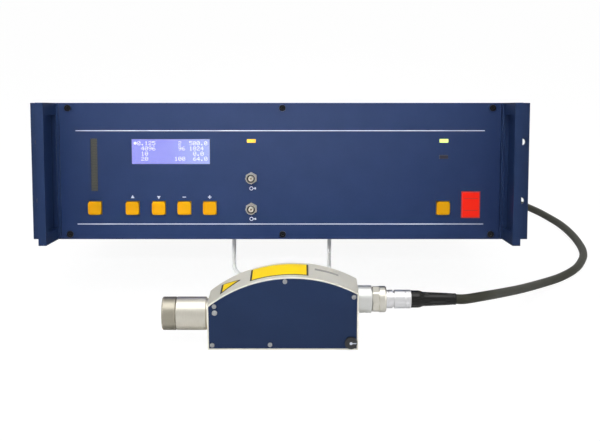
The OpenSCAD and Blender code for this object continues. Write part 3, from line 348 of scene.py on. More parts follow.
def backlight():
    """Negative liquid crystal over a blue backlight, violet at its left and paler blue towards its lit right end."""
    material = lit("lcd_backlight", "#989ef8", "#a2a4fa", 0.86)
    shader = material.node_tree.nodes["Principled BSDF"]
    place = add_node(material, "ShaderNodeTexCoord").outputs["Object"]
    across = add_node(material, "ShaderNodeSeparateXYZ", {"Vector": place}).outputs["X"]
    share = mapped(material, across, FADE_START, FADE_END, interpolation_type="SMOOTHSTEP")
    violet = shader.inputs["Base Color"].links[0].from_socket
    glow = mixed(material, share, violet, linear("#b4c4f8"))
    material.node_tree.links.new(glow, shader.inputs["Emission Color"])
    material.node_tree.links.remove(shader.inputs["Base Color"].links[0])
    shader.inputs["Base Color"].default_value = linear("#3c3c60")
    return material


# Ways of working that the pieces share

# Doubled seams of own pieces in millimetres and of CAD copies in metres, and the bend that still counts as flat
SEAM = 0.0005
CAD_SEAM = 0.000002
CAD_FLAT = math.radians(0.5)
ALL_ROUND = 64
CORNER_STEPS = 6
FACING = -0.9


def only(piece):
    """Leaves one piece selected and active."""
    bpy.ops.object.select_all(action="DESELECT")
    piece.select_set(True)
    bpy.context.view_layer.objects.active = piece
    return piece


def started(name):
    """Names the primitive that was just added, with its place put into its mesh."""
    piece = bpy.context.active_object
    piece.name = piece.data.name = name
    only(piece)
    bpy.ops.object.transform_apply(location=True, rotation=True, scale=True)
    return piece


def edit(piece, wanted=None):
    """Opens a piece in edit mode with the wanted faces selected, or all of them."""
    only(piece)
    bpy.ops.object.mode_set(mode="EDIT")
    bpy.ops.mesh.select_mode(type="FACE")
    bpy.ops.mesh.select_all(action="SELECT" if wanted is None else "DESELECT")
    if wanted is not None:
        bpy.ops.object.mode_set(mode="OBJECT")
        for face in piece.data.polygons:
            face.select = bool(wanted(face))
        bpy.ops.object.mode_set(mode="EDIT")


def done():
    bpy.ops.object.mode_set(mode="OBJECT")


def extrude(*way):
    """Extrudes the selection along a way (x, y, z), in edit mode."""
    bpy.ops.mesh.extrude_region_move(TRANSFORM_OT_translate={"value": way})


def laid(piece, matrix):
    """Moves or turns a piece, and keeps its place in its mesh."""
    only(piece).matrix_world = matrix
    bpy.ops.object.transform_apply(location=True, rotation=True, scale=True)
    return piece


def rounded(piece, width, segments=2, angle=30):
    """Rounds the edges that are sharper than an angle."""
    bevel = only(piece).modifiers.new("edge", "BEVEL")
    bevel.width, bevel.segments, bevel.limit_method, bevel.angle_limit = width, segments, "ANGLE", math.radians(angle)
    bevel.use_clamp_overlap = True
    bpy.ops.object.modifier_apply(modifier=bevel.name)
    return smoothed(piece, angle)


def smoothed(piece, angle):
    """Shades a piece smooth up to an angle, with its large flat faces left flat."""
    only(piece)
    bpy.ops.object.shade_smooth_by_angle(angle=math.radians(angle))
    flat = piece.modifiers.new("flat", "WEIGHTED_NORMAL")
    flat.keep_sharp = True
    bpy.ops.object.modifier_apply(modifier=flat.name)
    return piece


def outward(piece):
    """Closes doubled seams and turns the faces outwards."""
    edit(piece)
    bpy.ops.mesh.remove_doubles(threshold=SEAM)
    bpy.ops.mesh.normals_make_consistent(inside=False)
    done()
    return piece


def copied(piece, name, matrix):
    """A copy with a mesh of its own, moved by a matrix."""
    other = piece.copy()
    other.data = piece.data.copy()
    other.name = other.data.name = name
    bpy.context.scene.collection.objects.link(other)
    return laid(other, matrix)


def joined(name, pieces):
    """Makes one piece of several."""
    only(pieces[0])
    for piece in pieces:
        piece.select_set(True)
    bpy.ops.object.join()
    whole = bpy.context.active_object
    whole.name = whole.data.name = name
    return whole


def fitted(piece, unit, body, finish, slot, *stands_for):
    """Puts a finished piece in its unit's place, on its body, in its material."""
    laid(piece, unit)
    piece.data.materials.clear()
    piece.data.materials.append(finish)
    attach(piece, body)
    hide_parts(*stands_for)
    return piece


def turned(name, profile, sides=ALL_ROUND, through=False):
    """A turned piece along +Z, through each (z, radius) of a profile in turn, and a closed ring if through."""
    z, r = profile[0]
    filling = "NOTHING" if through else "NGON"
    bpy.ops.mesh.primitive_circle_add(vertices=sides, radius=r, location=(0, 0, z), fill_type=filling)
    piece = started(name)
    bpy.ops.object.mode_set(mode="EDIT")
    bpy.ops.mesh.select_mode(type="EDGE")
    bpy.ops.mesh.select_all(action="SELECT")
    for next_z, next_r in profile[1:] + ([profile[0]] if through else []):
        extrude(0, 0, next_z - z)
        bpy.ops.transform.resize(value=(next_r / r, next_r / r, 1), center_override=(0, 0, next_z))
        z, r = next_z, next_r
    done()
    return outward(piece)


def turn_of(vertex):
    """How far a vertex has turned round the Z axis, in degrees."""
    return math.degrees(math.atan2(vertex.co.y, vertex.co.x))


def distance_of(vertex):
    """How far a vertex is from the Z axis."""
    return Vector(vertex.co.xy).length


def drawn_in(vertex, share):
    """Draws a vertex in towards the Z axis."""
    vertex.co.x *= share
    vertex.co.y *= share


def flattened(piece, sides, across, outer, wanted):
    """Puts the wanted vertices on flat sides round the Z axis, each no further out than a radius."""
    for vertex in piece.data.vertices:
        if wanted(vertex.co.z, distance_of(vertex)):
            from_middle = turn_of(vertex) % (360 / sides) - 180 / sides
            reach = min(across / 2 / math.cos(math.radians(from_middle)), outer)
            vertex.co.x, vertex.co.y = Vector(vertex.co.xy).normalized() * reach


def plate(name, w, h, r, front, back, at=(0, 0)):
    """An upright plate with rounded corners, from its front to its back depth, at a place (x, z) on the panel."""
    x, z = at
    bpy.ops.mesh.primitive_plane_add(size=1, location=(x, front, z), rotation=(math.radians(90), 0, 0))
    bpy.context.active_object.scale = (w, h, 1)
    piece = started(name)
    edit(piece)
    if r:
        bpy.ops.mesh.bevel(affect="VERTICES", offset=r, segments=CORNER_STEPS)
    extrude(0, back - front, 0)
    done()
    return outward(piece)


def faces_viewer(face):
    return face.normal.y < FACING


def sunk(piece, rim, depth, slope=0):
    """Sinks a plate's front inside a rim, or raises it where the depth is below zero, with a loop in it for a slope."""
    edit(piece, faces_viewer)
    bpy.ops.mesh.inset(thickness=rim)
    extrude(0, depth, 0)
    if slope:
        bpy.ops.mesh.inset(thickness=slope)
    done()
    return piece


def on_face(x, z, y=0):
    """The matrix that lays a piece made along +Z towards the viewer, at a place on a unit's face."""
    return Matrix.Translation((x, y, z)) @ TOWARDS_VIEWER


def stem(radius, length, x, y, z):
    """A round stem that runs to the rear from a place."""
    rod = turned("stem", [(0, radius), (length, radius)], 24)
    return laid(rod, Matrix.Translation((x, y, z)) @ TO_THE_REAR)


def crisp_copy(node, name, width, finish):
    """A CAD node's own shape with its edges rounded as the real piece's are, in metres."""
    source = frame["nodes"][node]
    piece = source.copy()
    piece.data = source.data.copy()
    piece.name = piece.data.name = name
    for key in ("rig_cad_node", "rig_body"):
        del piece[key]
    piece.parent = None
    bpy.context.scene.collection.objects.link(piece)
    edit(piece)
    bpy.ops.mesh.customdata_custom_splitnormals_clear()
    bpy.ops.mesh.remove_doubles(threshold=CAD_SEAM)
    bpy.ops.mesh.dissolve_limited(angle_limit=CAD_FLAT)
    done()
    rounded(piece, width * MM)
    piece.data.materials.clear()
    piece.data.materials.append(finish)
    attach(piece, source["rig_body"])
    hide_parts(node)
    return piece


# Controller: panel, print and display

BUTTON_XS = [-180.4, -143.8, -118.3, -93.5, -68.7, 158.4]
BUTTON_NODES = ["clear_button", "up_button", "down_button", "minus_button", "plus_button", "laser_button"]
BUTTON_Z = -35.6
JACKS = [(-28.2, -6.5), (-28.2, -36.3)]

PRINT_FRONT, PRINT_BACK = -0.06, 0.02
LINE_LENGTH, LINE_W = 396, 0.8
LINE_ZS = (39.45, -51.35)
SIGN_Z = -25
SIGN_LENGTH, SIGN_W = 3.4, 0.9
ARROW_R = 2
OUTPUT_BELOW = 10
OUTPUT_INNER, OUTPUT_OUTER = 1.3, 1.9
OUTPUT_STEM, STEM_ASIDE = (2.6, 0.7), 3.1
OUTPUT_TIP, TIP_R, TIP_ASIDE = (1.5, 1.9), 0.4, 3.8

DISPLAY = (-106.2, 19.2)
GLASS_SIZE, GLASS_R = (75.5, 23.9), 0.2
GLASS_FRONT, GLASS_BACK = 1.4, 4
GLASS_RIM, GLASS_SUNK = 0.5, 0.04
BEZEL_SIZE, BEZEL_BACK = (88, 40), 11
DISPLAY_BOARD_SIZE, DISPLAY_BOARD_BACK = (98, 60), 12.6

# Dots of the display, then those of a letter, and those from one letter or line to the next
DOTS_ACROSS, DOTS_DOWN = 120, 36
DOT_W, DOT_H, DOT_GAP = 0.6, 0.56, 0.05
DOT_DEPTH = 1.42
LETTER_W, LETTER_H = 5, 7
LETTER_STEP, LINE_STEP = 6, 9

# Characters as rows of five dots each
LETTERS = {
    "0": "01110 10001 10011 10101 11001 10001 01110", "1": "00100 01100 00100 00100 00100 00100 01110",
    "2": "01110 10001 00001 00110 01000 10000 11111", "4": "00010 00110 01010 10010 11111 00010 00010",
    "5": "11111 10000 11110 00001 00001 10001 01110", "6": "00110 01000 10000 11110 10001 10001 01110",
    "9": "01110 10001 10001 01111 00001 00010 01100", ".": "00000 00000 00000 00000 00000 01100 01100",
    "*": "00000 01110 11111 11111 11111 01110 00000",
}
DISPLAY_LINES = ["*0.125      2  500.0", "  4096      96 1024 ", "  10            0.0 ", "  20       100  64.0"]


def bar(name, w, h, x, z, r=0):
    """A bar of screen print on the panel."""
    return plate(name, w, h, r, PRINT_FRONT, PRINT_BACK, (x, z))


def symbols():
    """White screen print: the two long lines, the arrows, the signs and the output marks by the jacks."""
    marks = [bar("line", LINE_LENGTH, LINE_W, 0, z) for z in LINE_ZS]
    for x, turn in ((BUTTON_XS[1], 0), (BUTTON_XS[2], -180)):
        bpy.ops.mesh.primitive_circle_add(vertices=3, radius=ARROW_R, fill_type="NGON")
        spin = Matrix.Rotation(math.radians(turn), 4, "Z")
        marks.append(laid(started("arrow"), on_face(x, SIGN_Z, PRINT_FRONT) @ spin))
    marks.append(bar("minus", SIGN_LENGTH, SIGN_W, BUTTON_XS[3], SIGN_Z))
    for w, h in ((SIGN_LENGTH, SIGN_W), (SIGN_W, SIGN_LENGTH)):
        marks.append(bar("plus", w, h, BUTTON_XS[4], SIGN_Z))
    section = [(0, OUTPUT_OUTER), (0, OUTPUT_INNER), (-PRINT_FRONT, OUTPUT_INNER), (-PRINT_FRONT, OUTPUT_OUTER)]
    for x, jack_z in JACKS:
        z = jack_z - OUTPUT_BELOW
        marks.append(laid(turned("output_ring", section, 24, through=True), on_face(x, z)))
        marks.append(bar("output_stem", *OUTPUT_STEM, x + STEM_ASIDE, z))
        marks.append(bar("output_tip", *OUTPUT_TIP, x + TIP_ASIDE, z, TIP_R))
    fitted(joined("panel_print", marks), CONTROLLER, "instrument", white_print, "panel_paint")


def display_dots():
    """The lit dots of four lines of plain numbers, cut from one grid over the display."""
    x, z = DISPLAY
    w, h = DOTS_ACROSS * DOT_W, DOTS_DOWN * DOT_H
    bpy.ops.mesh.primitive_grid_add(x_subdivisions=DOTS_ACROSS, y_subdivisions=DOTS_DOWN, size=1)
    dots = laid(started("display_dots"), on_face(x, z, DOT_DEPTH) @ Matrix.Diagonal((w, h, 1, 1)))

    def dark(face):
        column = int((face.center.x - (x - w / 2)) / DOT_W)
        row = int((z + h / 2 - face.center.z) / DOT_H)
        letter = DISPLAY_LINES[row // LINE_STEP][column // LETTER_STEP]
        across, down = column % LETTER_STEP, row % LINE_STEP
        if letter == " " or across >= LETTER_W or down >= LETTER_H:
            return True
        return LETTERS[letter].split()[down][across] == "0"

    edit(dots, dark)
    bpy.ops.mesh.delete(type="FACE")
    bpy.ops.mesh.select_all(action="SELECT")
    bpy.ops.mesh.inset(thickness=DOT_GAP, use_individual=True)
    bpy.ops.mesh.select_all(action="INVERT")
    bpy.ops.mesh.delete(type="FACE")
    done()
    fitted(dots, CONTROLLER, "instrument", lcd_dots, "backlit_glass")


def display():
    """Backlit glass with a rim behind the clear window, in its moulded frame on its own board."""
    glass = sunk(plate("display_glass", *GLASS_SIZE, GLASS_R, GLASS_FRONT, GLASS_BACK, DISPLAY), GLASS_RIM, GLASS_SUNK)
    fitted(glass, CONTROLLER, "instrument", backlight(), "backlit_glass")
    bezel = rounded(plate("display_bezel", *BEZEL_SIZE, 1, GLASS_BACK, BEZEL_BACK, DISPLAY), 0.4)
    fitted(bezel, CONTROLLER, "instrument", black_moulding, "black_plastic", "display_module")
    board = plate("display_board", *DISPLAY_BOARD_SIZE, 1.5, BEZEL_BACK, DISPLAY_BOARD_BACK, DISPLAY)
    fitted(rounded(board, 0.1), CONTROLLER, "instrument", laminate, "board_laminate")
    display_dots()


# Controller: keys, lamps, jacks, switch and screws

CAP_SIZE, CAP_R = (12.9, 12.9), 2.6
CAP_FRONT, CAP_BACK = -3.5, 4.3
CAP_RIM, CAP_SUNK, CAP_SLOPE = 1.1, 0.25, 0.5
SKIRT_SIZE, SKIRT_R, SKIRT_BACK = (15.3, 15.3), 0.5, 5.5
CAP_STEM_R, CAP_STEM_LENGTH = 2, 1.3


def keys():
    """Square caps with soft edges and a shallow dish in the face, each on its skirt and stem."""
    model = sunk(plate("keycap", *CAP_SIZE, CAP_R, CAP_FRONT, CAP_BACK), CAP_RIM, CAP_SUNK, CAP_SLOPE)
    rounded(model, 0.8, 3, 40)
    for x, node in zip(BUTTON_XS, BUTTON_NODES):
        cap = copied(model, f"{node}_cap", Matrix.Translation((x, 0, BUTTON_Z)))
        skirt = plate("skirt", *SKIRT_SIZE, SKIRT_R, CAP_BACK, SKIRT_BACK, (x, BUTTON_Z))
        rod = stem(CAP_STEM_R, CAP_STEM_LENGTH, x, SKIRT_BACK, BUTTON_Z)
        fitted(joined(f"{node}_cap", [cap, skirt, rod]), CONTROLLER, node, amber_abs, "amber_plastic", node)
    bpy.data.objects.remove(model)


LENS_SIZE, LENS_R = (8.4, 3.4), 0.5
LENS_FRONT, LENS_BACK = -1, 12
LENS_RIM, LENS_SUNK = 0.35, 0.12
PANEL_LAMPS = (
    ("over_lamp", (-28, 29.6), amber_light, "amber_lamp"),
    ("emission_lamp", (158.5, 29.7), green_light, "green_lamp"),
    ("standby_lamp", (158.5, 14.1), unlit_lens, "unlit_lamp"),
)


def lamps():
    """Lenses of the three lamps, each with a shallow field in its face."""
    for node, at, finish, slot in PANEL_LAMPS:
        lens = sunk(plate(f"{node}_lens", *LENS_SIZE, LENS_R, LENS_FRONT, LENS_BACK, at), LENS_RIM, LENS_SUNK)
        fitted(rounded(lens, 0.12, 2, 40), CONTROLLER, "instrument", finish, slot, node)


JACK_BARREL = [
    (-12, 4.6), (0, 4.6), (0, 5), (2.5, 5), (2.5, 4.55), (3.2, 4.55), (3.4, 4.8), (11.2, 4.8), (11.5, 4.5),
    (11.9, 4.5), (12.1, 4.8), (12.5, 4.7), (12.5, 4.15), (12.2, 4.05), (2.8, 4.05),
]
JACK_FOOT = [(0, 4.9), (0, 5.85), (0.2, 6), (2.2, 6), (2.5, 5.7), (2.5, 4.8)]
JACK_LUG, LUG_Z = [(4, 1), (5.3, 1), (5.5, 0.8)], 9
JACK_NUT = [(-6.5, 6.93), (-4, 6.93)]
INSULATOR = [(2.5, 2.5), (10.8, 2.5), (11, 2.3), (11, 1.3), (10.6, 1.05), (4, 1.05)]
CONTACT = [(4, 1), (10, 1), (10.6, 0.85), (10.7, 0.5), (8, 0.4)]
# Black sheet inside each jack's barrel: painted shade where the deep bore is dark
BORE_SHADE = [(2.82, 2.45), (2.82, 4.04), (10.5, 4.04), (10.5, 3.95), (3, 3.95), (3, 2.45)]


def jack():
    """Panel jack with a hexagon foot, a turned barrel with its lip and groove, two bayonet lugs and its nut."""
    parts = [turned("jack", JACK_BARREL), turned("foot", JACK_FOOT, 6)]
    for way in (TO_THE_RIGHT, TO_THE_LEFT):
        parts.append(laid(turned("lug", JACK_LUG, 20), Matrix.Translation((0, 0, LUG_Z)) @ way))
    parts.append(turned("nut", JACK_NUT, 6))
    return rounded(joined("jack", parts), 0.12, 2, 40)


def jacks():
    """Both jacks, with a black sheet inside each barrel as painted shade."""
    barrels, insulators, contacts, bore_shades = [], [], [], []
    for place in JACKS:
        at = on_face(*place)
        barrels.append(laid(jack(), at))
        insulators.append(laid(turned("insulator", INSULATOR, 40), at))
        contacts.append(laid(turned("contact", CONTACT, 24), at))
        bore_shades.append(laid(turned("bore_shade", BORE_SHADE, 40, through=True), at))
    white = rounded(joined("jack_insulators_white", insulators), 0.05)
    sockets = rounded(joined("jack_sockets_gold", contacts), 0.03)
    fitted(joined("jack_bore_shades", bore_shades), CONTROLLER, "instrument", black_moulding, "black_plastic")
    fitted(joined("jack_barrels", barrels), CONTROLLER, "instrument", satin_nickel, "nickel_plate", "coax_jacks")
    fitted(white, CONTROLLER, "instrument", white_ptfe, "white_insulator", "jack_insulators")
    fitted(sockets, CONTROLLER, "instrument", gold, "gold_contact", "jack_contacts")


SWITCH = (185.3, -32.4)
SWITCH_SIZE, SWITCH_R = (16, 23.7), 0.8
SWITCH_FRONT, SWITCH_BACK = -2, 6
SWITCH_RIM, SWITCH_RAISED = 0.7, -0.15
SWITCH_STEM_R, SWITCH_STEM_LENGTH = 3, 4
GROOVE_ZS = (-26.2, -37.8)
GROOVE_SIZE = (13.4, 0.55)
GROOVE_FRONT, GROOVE_BACK = -2.19, -2.1


def power_switch():
    """Red cap with three fields between two darker red lines, painted shade standing in for its grooves, in its thin
    frame.
    """
    x, z = SWITCH
    cap = plate("power_cap_red", *SWITCH_SIZE, SWITCH_R, SWITCH_FRONT, SWITCH_BACK, SWITCH)
    rounded(sunk(cap, SWITCH_RIM, SWITCH_RAISED), 0.3, 2, 40)
    rod = stem(SWITCH_STEM_R, SWITCH_STEM_LENGTH, x, SWITCH_BACK, z)
    fitted(joined("power_cap_red", [cap, rod]), CONTROLLER, "power_cap", red_cap, "red_cap", "power_switch_cap")
    # The grooves are thin strips of darker red on the face: painted shade, not cut
    grooves = [plate("groove", *GROOVE_SIZE, 0, GROOVE_FRONT, GROOVE_BACK, (x, groove_z)) for groove_z in GROOVE_ZS]
    fitted(joined("power_cap_lines", grooves), CONTROLLER, "power_cap", groove_painted_shade, "red_frame")
    crisp_copy("power_switch_body", "power_frame_red", 0.25, red_frame)


def socket_screw(name, head_r, head_h, socket_w, shank_r, shank_l):
    """A cap screw along +Z: a domed rim and a hexagon socket in the head."""
    screw = turned(name, [
        (-shank_l, shank_r), (0, shank_r), (0, head_r * 0.97), (head_h * 0.75, head_r),
        (head_h * 0.93, head_r * 0.95), (head_h, head_r * 0.82), (head_h, socket_w * 0.62),
        (head_h * 0.35, socket_w * 0.6), (head_h * 0.25, 0.2),
    ], 24)
    flattened(screw, 6, socket_w, head_r, lambda z, r: z > head_h * 0.3 and r < socket_w * 0.65)
    return rounded(screw, 0.08, 2, 40)


PANEL_SCREW_XS = (-205.2, 2.2, 205.2)
PANEL_SCREW_Z = 61.3


def panel_screws():
    """Black cap screws, each turned as far as its place says, so that no two sockets stand alike."""
    model = socket_screw("panel_screw", head_r=3.25, head_h=2.2, socket_w=2.5, shank_r=1.5, shank_l=12)
    heads = []
    for x in PANEL_SCREW_XS:
        for z in (-PANEL_SCREW_Z, PANEL_SCREW_Z):
            spin = Matrix.Rotation(math.radians(17 * x + z), 4, "Z")
            heads.append(copied(model, "screw_head", on_face(x, z) @ spin))
    bpy.data.objects.remove(model)
    fitted(joined("panel_cap_screws", heads), CONTROLLER, "instrument", black_oxide, "black_steel", "panel_screws")


# Sensor head

HEAD_LENGTH = 130.6
HEAD_DEPTH = 42.5
HEAD_HEIGHT = 66.1
ARCH_R = 116.2
ARCH_X, ARCH_Z = 73.7, HEAD_HEIGHT - ARCH_R
LENS_Z = 26
PLUG_Z = 39.2
PLATE_PROUD = 0.3
PLATE_SCREWS = [(6.4, 40), (4.1, 4.6), (54.2, 5), (67.3, 62.4), (126.4, 48.5)]
DOWEL = (6.7, 34.1)
DOWEL_HEAD = [(-1.5, 1), (0, 1), (0, 2.25), (1.1, 2.3), (1.4, 2), (1.4, 0.3)]


def on_arch(piece, lift):
    """Wraps a flat piece, made at z 0 over the arch, on the arch's top."""
    for vertex in piece.data.vertices:
        x = vertex.co.x - ARCH_X
        vertex.co.z += ARCH_Z + math.sqrt((ARCH_R + lift) ** 2 - x * x)


def foil(name, corners, lift, thick):
    """A thin foil between corners, cut fine enough to follow the arch."""
    bpy.ops.mesh.primitive_plane_add(size=1)
    piece = started(name)
    for vertex, place in zip(piece.data.vertices, corners):
        vertex.co = (*place, 0)
    edit(piece)
    bpy.ops.mesh.subdivide(number_cuts=24)
    done()
    on_arch(piece, lift)
    edit(piece)
    extrude(0, 0, thick)
    done()
    return outward(piece)


# Corners of the foils, x along the head and y across it: black ones, the yellow ones on them, and the filled mark
BLACK_FOILS = [(37, 7), (87.4, 7), (37, 37), (87.4, 37)], [(11, 8), (28, 20.4), (11, 33), (28, 20.6)]
YELLOW_FOILS = (
    [(38.6, 7.5), (85.8, 7.5), (38.6, 36.5), (85.8, 36.5)], [(12.7, 10.6), (26, 20.45), (12.7, 30.4), (26, 20.55)],
)
BLACK_LIFT, BLACK_THICK = 0.05, 0.4
YELLOW_LIFT, YELLOW_THICK = 0.45, 0.05
MARK = [(93.05, 25.05), (113.95, 25.05), (93.05, 30.95), (113.95, 30.95)]
MARK_LIFT, MARK_THICK = -0.48, 0.3


def yellow_plates():
    """A long plate and a triangular one, both bare: yellow foil on a black one that shows as a thin edge."""
    black = [foil("foil_black", corners, BLACK_LIFT, BLACK_THICK) for corners in BLACK_FOILS]
    yellow = [foil("foil_yellow", corners, YELLOW_LIFT, YELLOW_THICK) for corners in YELLOW_FOILS]
    fitted(joined("foil_edges_black", black), HEAD, "instrument", black_print, "yellow_plate", "label_plates")
    fitted(joined("foils_yellow", yellow), HEAD, "instrument", yellow_foil, "yellow_plate")
    mark = foil("engraved_mark_grey", MARK, MARK_LIFT, MARK_THICK)
    fitted(mark, HEAD, "instrument", grey_fill, "head_silver")


def plate_screws():
    """Small socket screws in both painted plates, and the plain dowel head on the front one."""
    model = socket_screw("plate_screw", head_r=2.0, head_h=1.4, socket_w=2.2, shank_r=1.0, shank_l=8)
    pieces = []
    for i, (x, z) in enumerate(PLATE_SCREWS):
        spin = Matrix.Rotation(math.radians(23 * i), 4, "Z")
        at_back = Matrix.Translation((x, HEAD_DEPTH + PLATE_PROUD, z)) @ TO_THE_REAR
        pieces.append(copied(model, "front_screw", on_face(x, z, -PLATE_PROUD) @ spin))
        pieces.append(copied(model, "back_screw", at_back @ spin))
    bpy.data.objects.remove(model)
    pieces.append(laid(turned("dowel", DOWEL_HEAD, 32), on_face(*DOWEL, -PLATE_PROUD)))
    fitted(joined("head_plate_screws", pieces), HEAD, "instrument", steel_screw, "steel_screw", "plate_screws")


KNOB = (124.3, 7)
KNOB_DISC = [(0.4, 1.5), (0.4, 5.3), (0.7, 5.5), (2.9, 5.5), (3.2, 5.2), (3.2, 1.5), (3.15, 0.3)]
KNOB_RIM = 5.45
KNOB_SHAFT = [(-21.4, 1.5), (0.5, 1.5)]
MILLING_DEGREES, MILLING_DEPTH = 6, 0.955
ARM_SIZE, ARM_R, ARM_MIDDLE = (19, 5), 0.8, 9.5
ARM_FRONT, ARM_BACK = 21.4, 22.6
ARM_TURN = math.radians(-106)
POINTER_DOT = [(3.19, 1.3), (3.26, 1.3)]
POINTER_SIZE, POINTER_ASIDE = (3.6, 0.8), 2.9
POINTER_FRONT, POINTER_BACK = -3.26, -3.18


def shutter():
    """Black knob with a milled edge and a white pointer line, with its shaft and arm."""
    x, z = KNOB
    at = Matrix.Translation((x, 0, z))
    disc = turned("shutter_disc", KNOB_DISC, 60)
    for vertex in disc.data.vertices:
        if distance_of(vertex) > KNOB_RIM and round(turn_of(vertex) / MILLING_DEGREES) % 2:
            drawn_in(vertex, MILLING_DEPTH)
    arm = plate("arm", *ARM_SIZE, ARM_R, ARM_FRONT, ARM_BACK, (ARM_MIDDLE, 0))
    pieces = [
        laid(rounded(disc, 0.1), on_face(x, z)),
        laid(turned("shaft", KNOB_SHAFT, 24), on_face(x, z)),
        laid(arm, at @ Matrix.Rotation(ARM_TURN, 4, "Y")),
    ]
    fitted(joined("shutter_knob_black", pieces), HEAD, "shutter", black_moulding, "black_plastic", "shutter_knob")
    dot = laid(turned("dot", POINTER_DOT, 24), on_face(x, z))
    pointer = plate("pointer", *POINTER_SIZE, 0, POINTER_FRONT, POINTER_BACK, (x + POINTER_ASIDE, z))
    fitted(joined("shutter_pointer", [dot, pointer]), HEAD, "shutter", white_print, "black_plastic")


LENS_TUBE = [
    (-7, 10.5), (-7, 13), (1.8, 13), (1.8, 14.3), (2.2, 14.7), (27.6, 14.7), (28, 14.4), (28.2, 14.3), (28.2, 12),
    (38.8, 12), (39.1, 11.7), (39.1, 10.5),
]
GRIP_ROWS, GRIP_START, GRIP_PITCH, GRIP_DEGREES = 12, 29.2, 0.9, 3
GRIP_RIM, GRIP_R, GRIP_DEPTH = 14.65, 14.7, 0.972
GRIP_FRONT = [(28.5, 12.05), (28.5, 14.3), (28.8, 14.6)]
GRIP_BACK = [(39.9, 14.6), (40.4, 14.2), (40.4, 10.2), (39.3, 10.2), (39.3, 12.05)]


def lens_end():
    """Barrel, knurled focus ring and the lens carriage, along -X from the head's left face."""
    at = Matrix.Translation((0, HEAD_DEPTH / 2, LENS_Z)) @ TO_THE_LEFT
    barrel = rounded(turned("lens_tube", LENS_TUBE, 96, through=True), 0.12)
    fitted(laid(barrel, at), HEAD, "instrument", turned_aluminium, "head_silver", "lens_barrel")
    rows = [(GRIP_START + GRIP_PITCH * i, GRIP_R) for i in range(GRIP_ROWS)]
    ring = turned("focus_grip", [*GRIP_FRONT, *rows, *GRIP_BACK], 120, through=True)
    for vertex in ring.data.vertices:
        row = round((vertex.co.z - GRIP_START) / GRIP_PITCH)
        if distance_of(vertex) > GRIP_RIM and (row + round(turn_of(vertex) / GRIP_DEGREES)) % 2:
            drawn_in(vertex, GRIP_DEPTH)
    fitted(laid(smoothed(ring, 12), at), HEAD, "focus_ring", knurled_aluminium, "head_silver", "focus_ring")
    crisp_copy("lens_carriage", "lens_cell", 0.2, black_anodised)


# Plugs, sockets and nuts, along +Z from the face that carries the socket

PLUG = [
    (20.2, 8.9), (20.9, 8.9), (20.9, 8.15), (26.6, 8.15), (26.8, 7.95), (27.1, 8.15), (30.6, 8.15), (30.6, 6.75),
    (32, 6.75), (32, 8), (32.2, 8.2), (41.2, 8.2), (41.5, 7.95), (42, 7.95), (42.3, 8.2), (46.3, 8.2), (46.6, 8),
    (46.8, 7.7), (46.8, 5),
]
BOOT = [
    (46.7, 5), (46.7, 7.4), (47, 7.65), (53, 7.6), (55.2, 7.2), (56.6, 6.6), (58, 6.3), (60, 6.2), (64, 6.0),
    (68, 5.85), (72, 5.65), (76, 5.45), (80, 5.25), (83.4, 5.05), (84, 4.9), (84.4, 5.1), (86, 5.0), (86.4, 4.7),
    (86.2, 4.3),
]
# Long flutes and short ribs of the boot: where along it, where in each step of its turn, and how far drawn in
BOOT_CUTS = ((59, 81, 60, 22, 38, 0.93), (48, 54, 20, 0, 8, 0.96))
NUT = [
    (12.8, 9.1), (12.8, 10.8), (13.2, 11.3), (18.4, 11.3), (18.9, 11.55), (23.6, 11.55), (24.5, 11.1),
    (24.9, 10.5), (24.9, 8.2), (21.1, 8.2), (21.1, 9.1),
]
NUT_ACROSS, NUT_OUTER, NUT_SIDES = 21.9, 11.55, 8
SOCKET_INSIDE = [(14, 9), (14.3, 8.7), (15, 9), (19.8, 9), (20.2, 8.7), (20.2, 4)]


def plug_metal():
    """Turned metal of a plug, from inside its nut to its strain relief."""
    return rounded(turned("plug_metal", PLUG), 0.08)


def plug_boot():
    """Strain relief: a collar with ribs, a waist, and a long taper with flutes."""
    boot = turned("plug_boot", BOOT, 96)
    for vertex in boot.data.vertices:
        for start, end, step, first, last, share in BOOT_CUTS:
            if start < vertex.co.z < end and first <= turn_of(vertex) % step < last:
                drawn_in(vertex, share)
                break
    return smoothed(boot, 40)


def coupling_nut(name):
    """Nut with eight flats at its front, a round shoulder and a chamfered back."""
    nut = turned(name, NUT, 96, through=True)
    flattened(nut, NUT_SIDES, NUT_ACROSS, NUT_OUTER, lambda z, r: 13 < z < 18.6 and r > 11)
    return smoothed(nut, 18)


def socket_metal(name, length):
    """Panel socket whose collar stands out by its length."""
    collar = [(-6, 9), (0, 9), (0, 11.9), (0.3, 12.1), (length - 0.5, 12.1), (length, 11.7), (length, 9)]
    return rounded(turned(name, collar + SOCKET_INSIDE, 96), 0.08)


HEAD_PLUG = Matrix.Translation((HEAD_LENGTH, HEAD_DEPTH / 2, PLUG_Z)) @ TO_THE_RIGHT
REAR_PLUG = Matrix.Translation((170, CASE_DEPTH, -18)) @ TO_THE_REAR


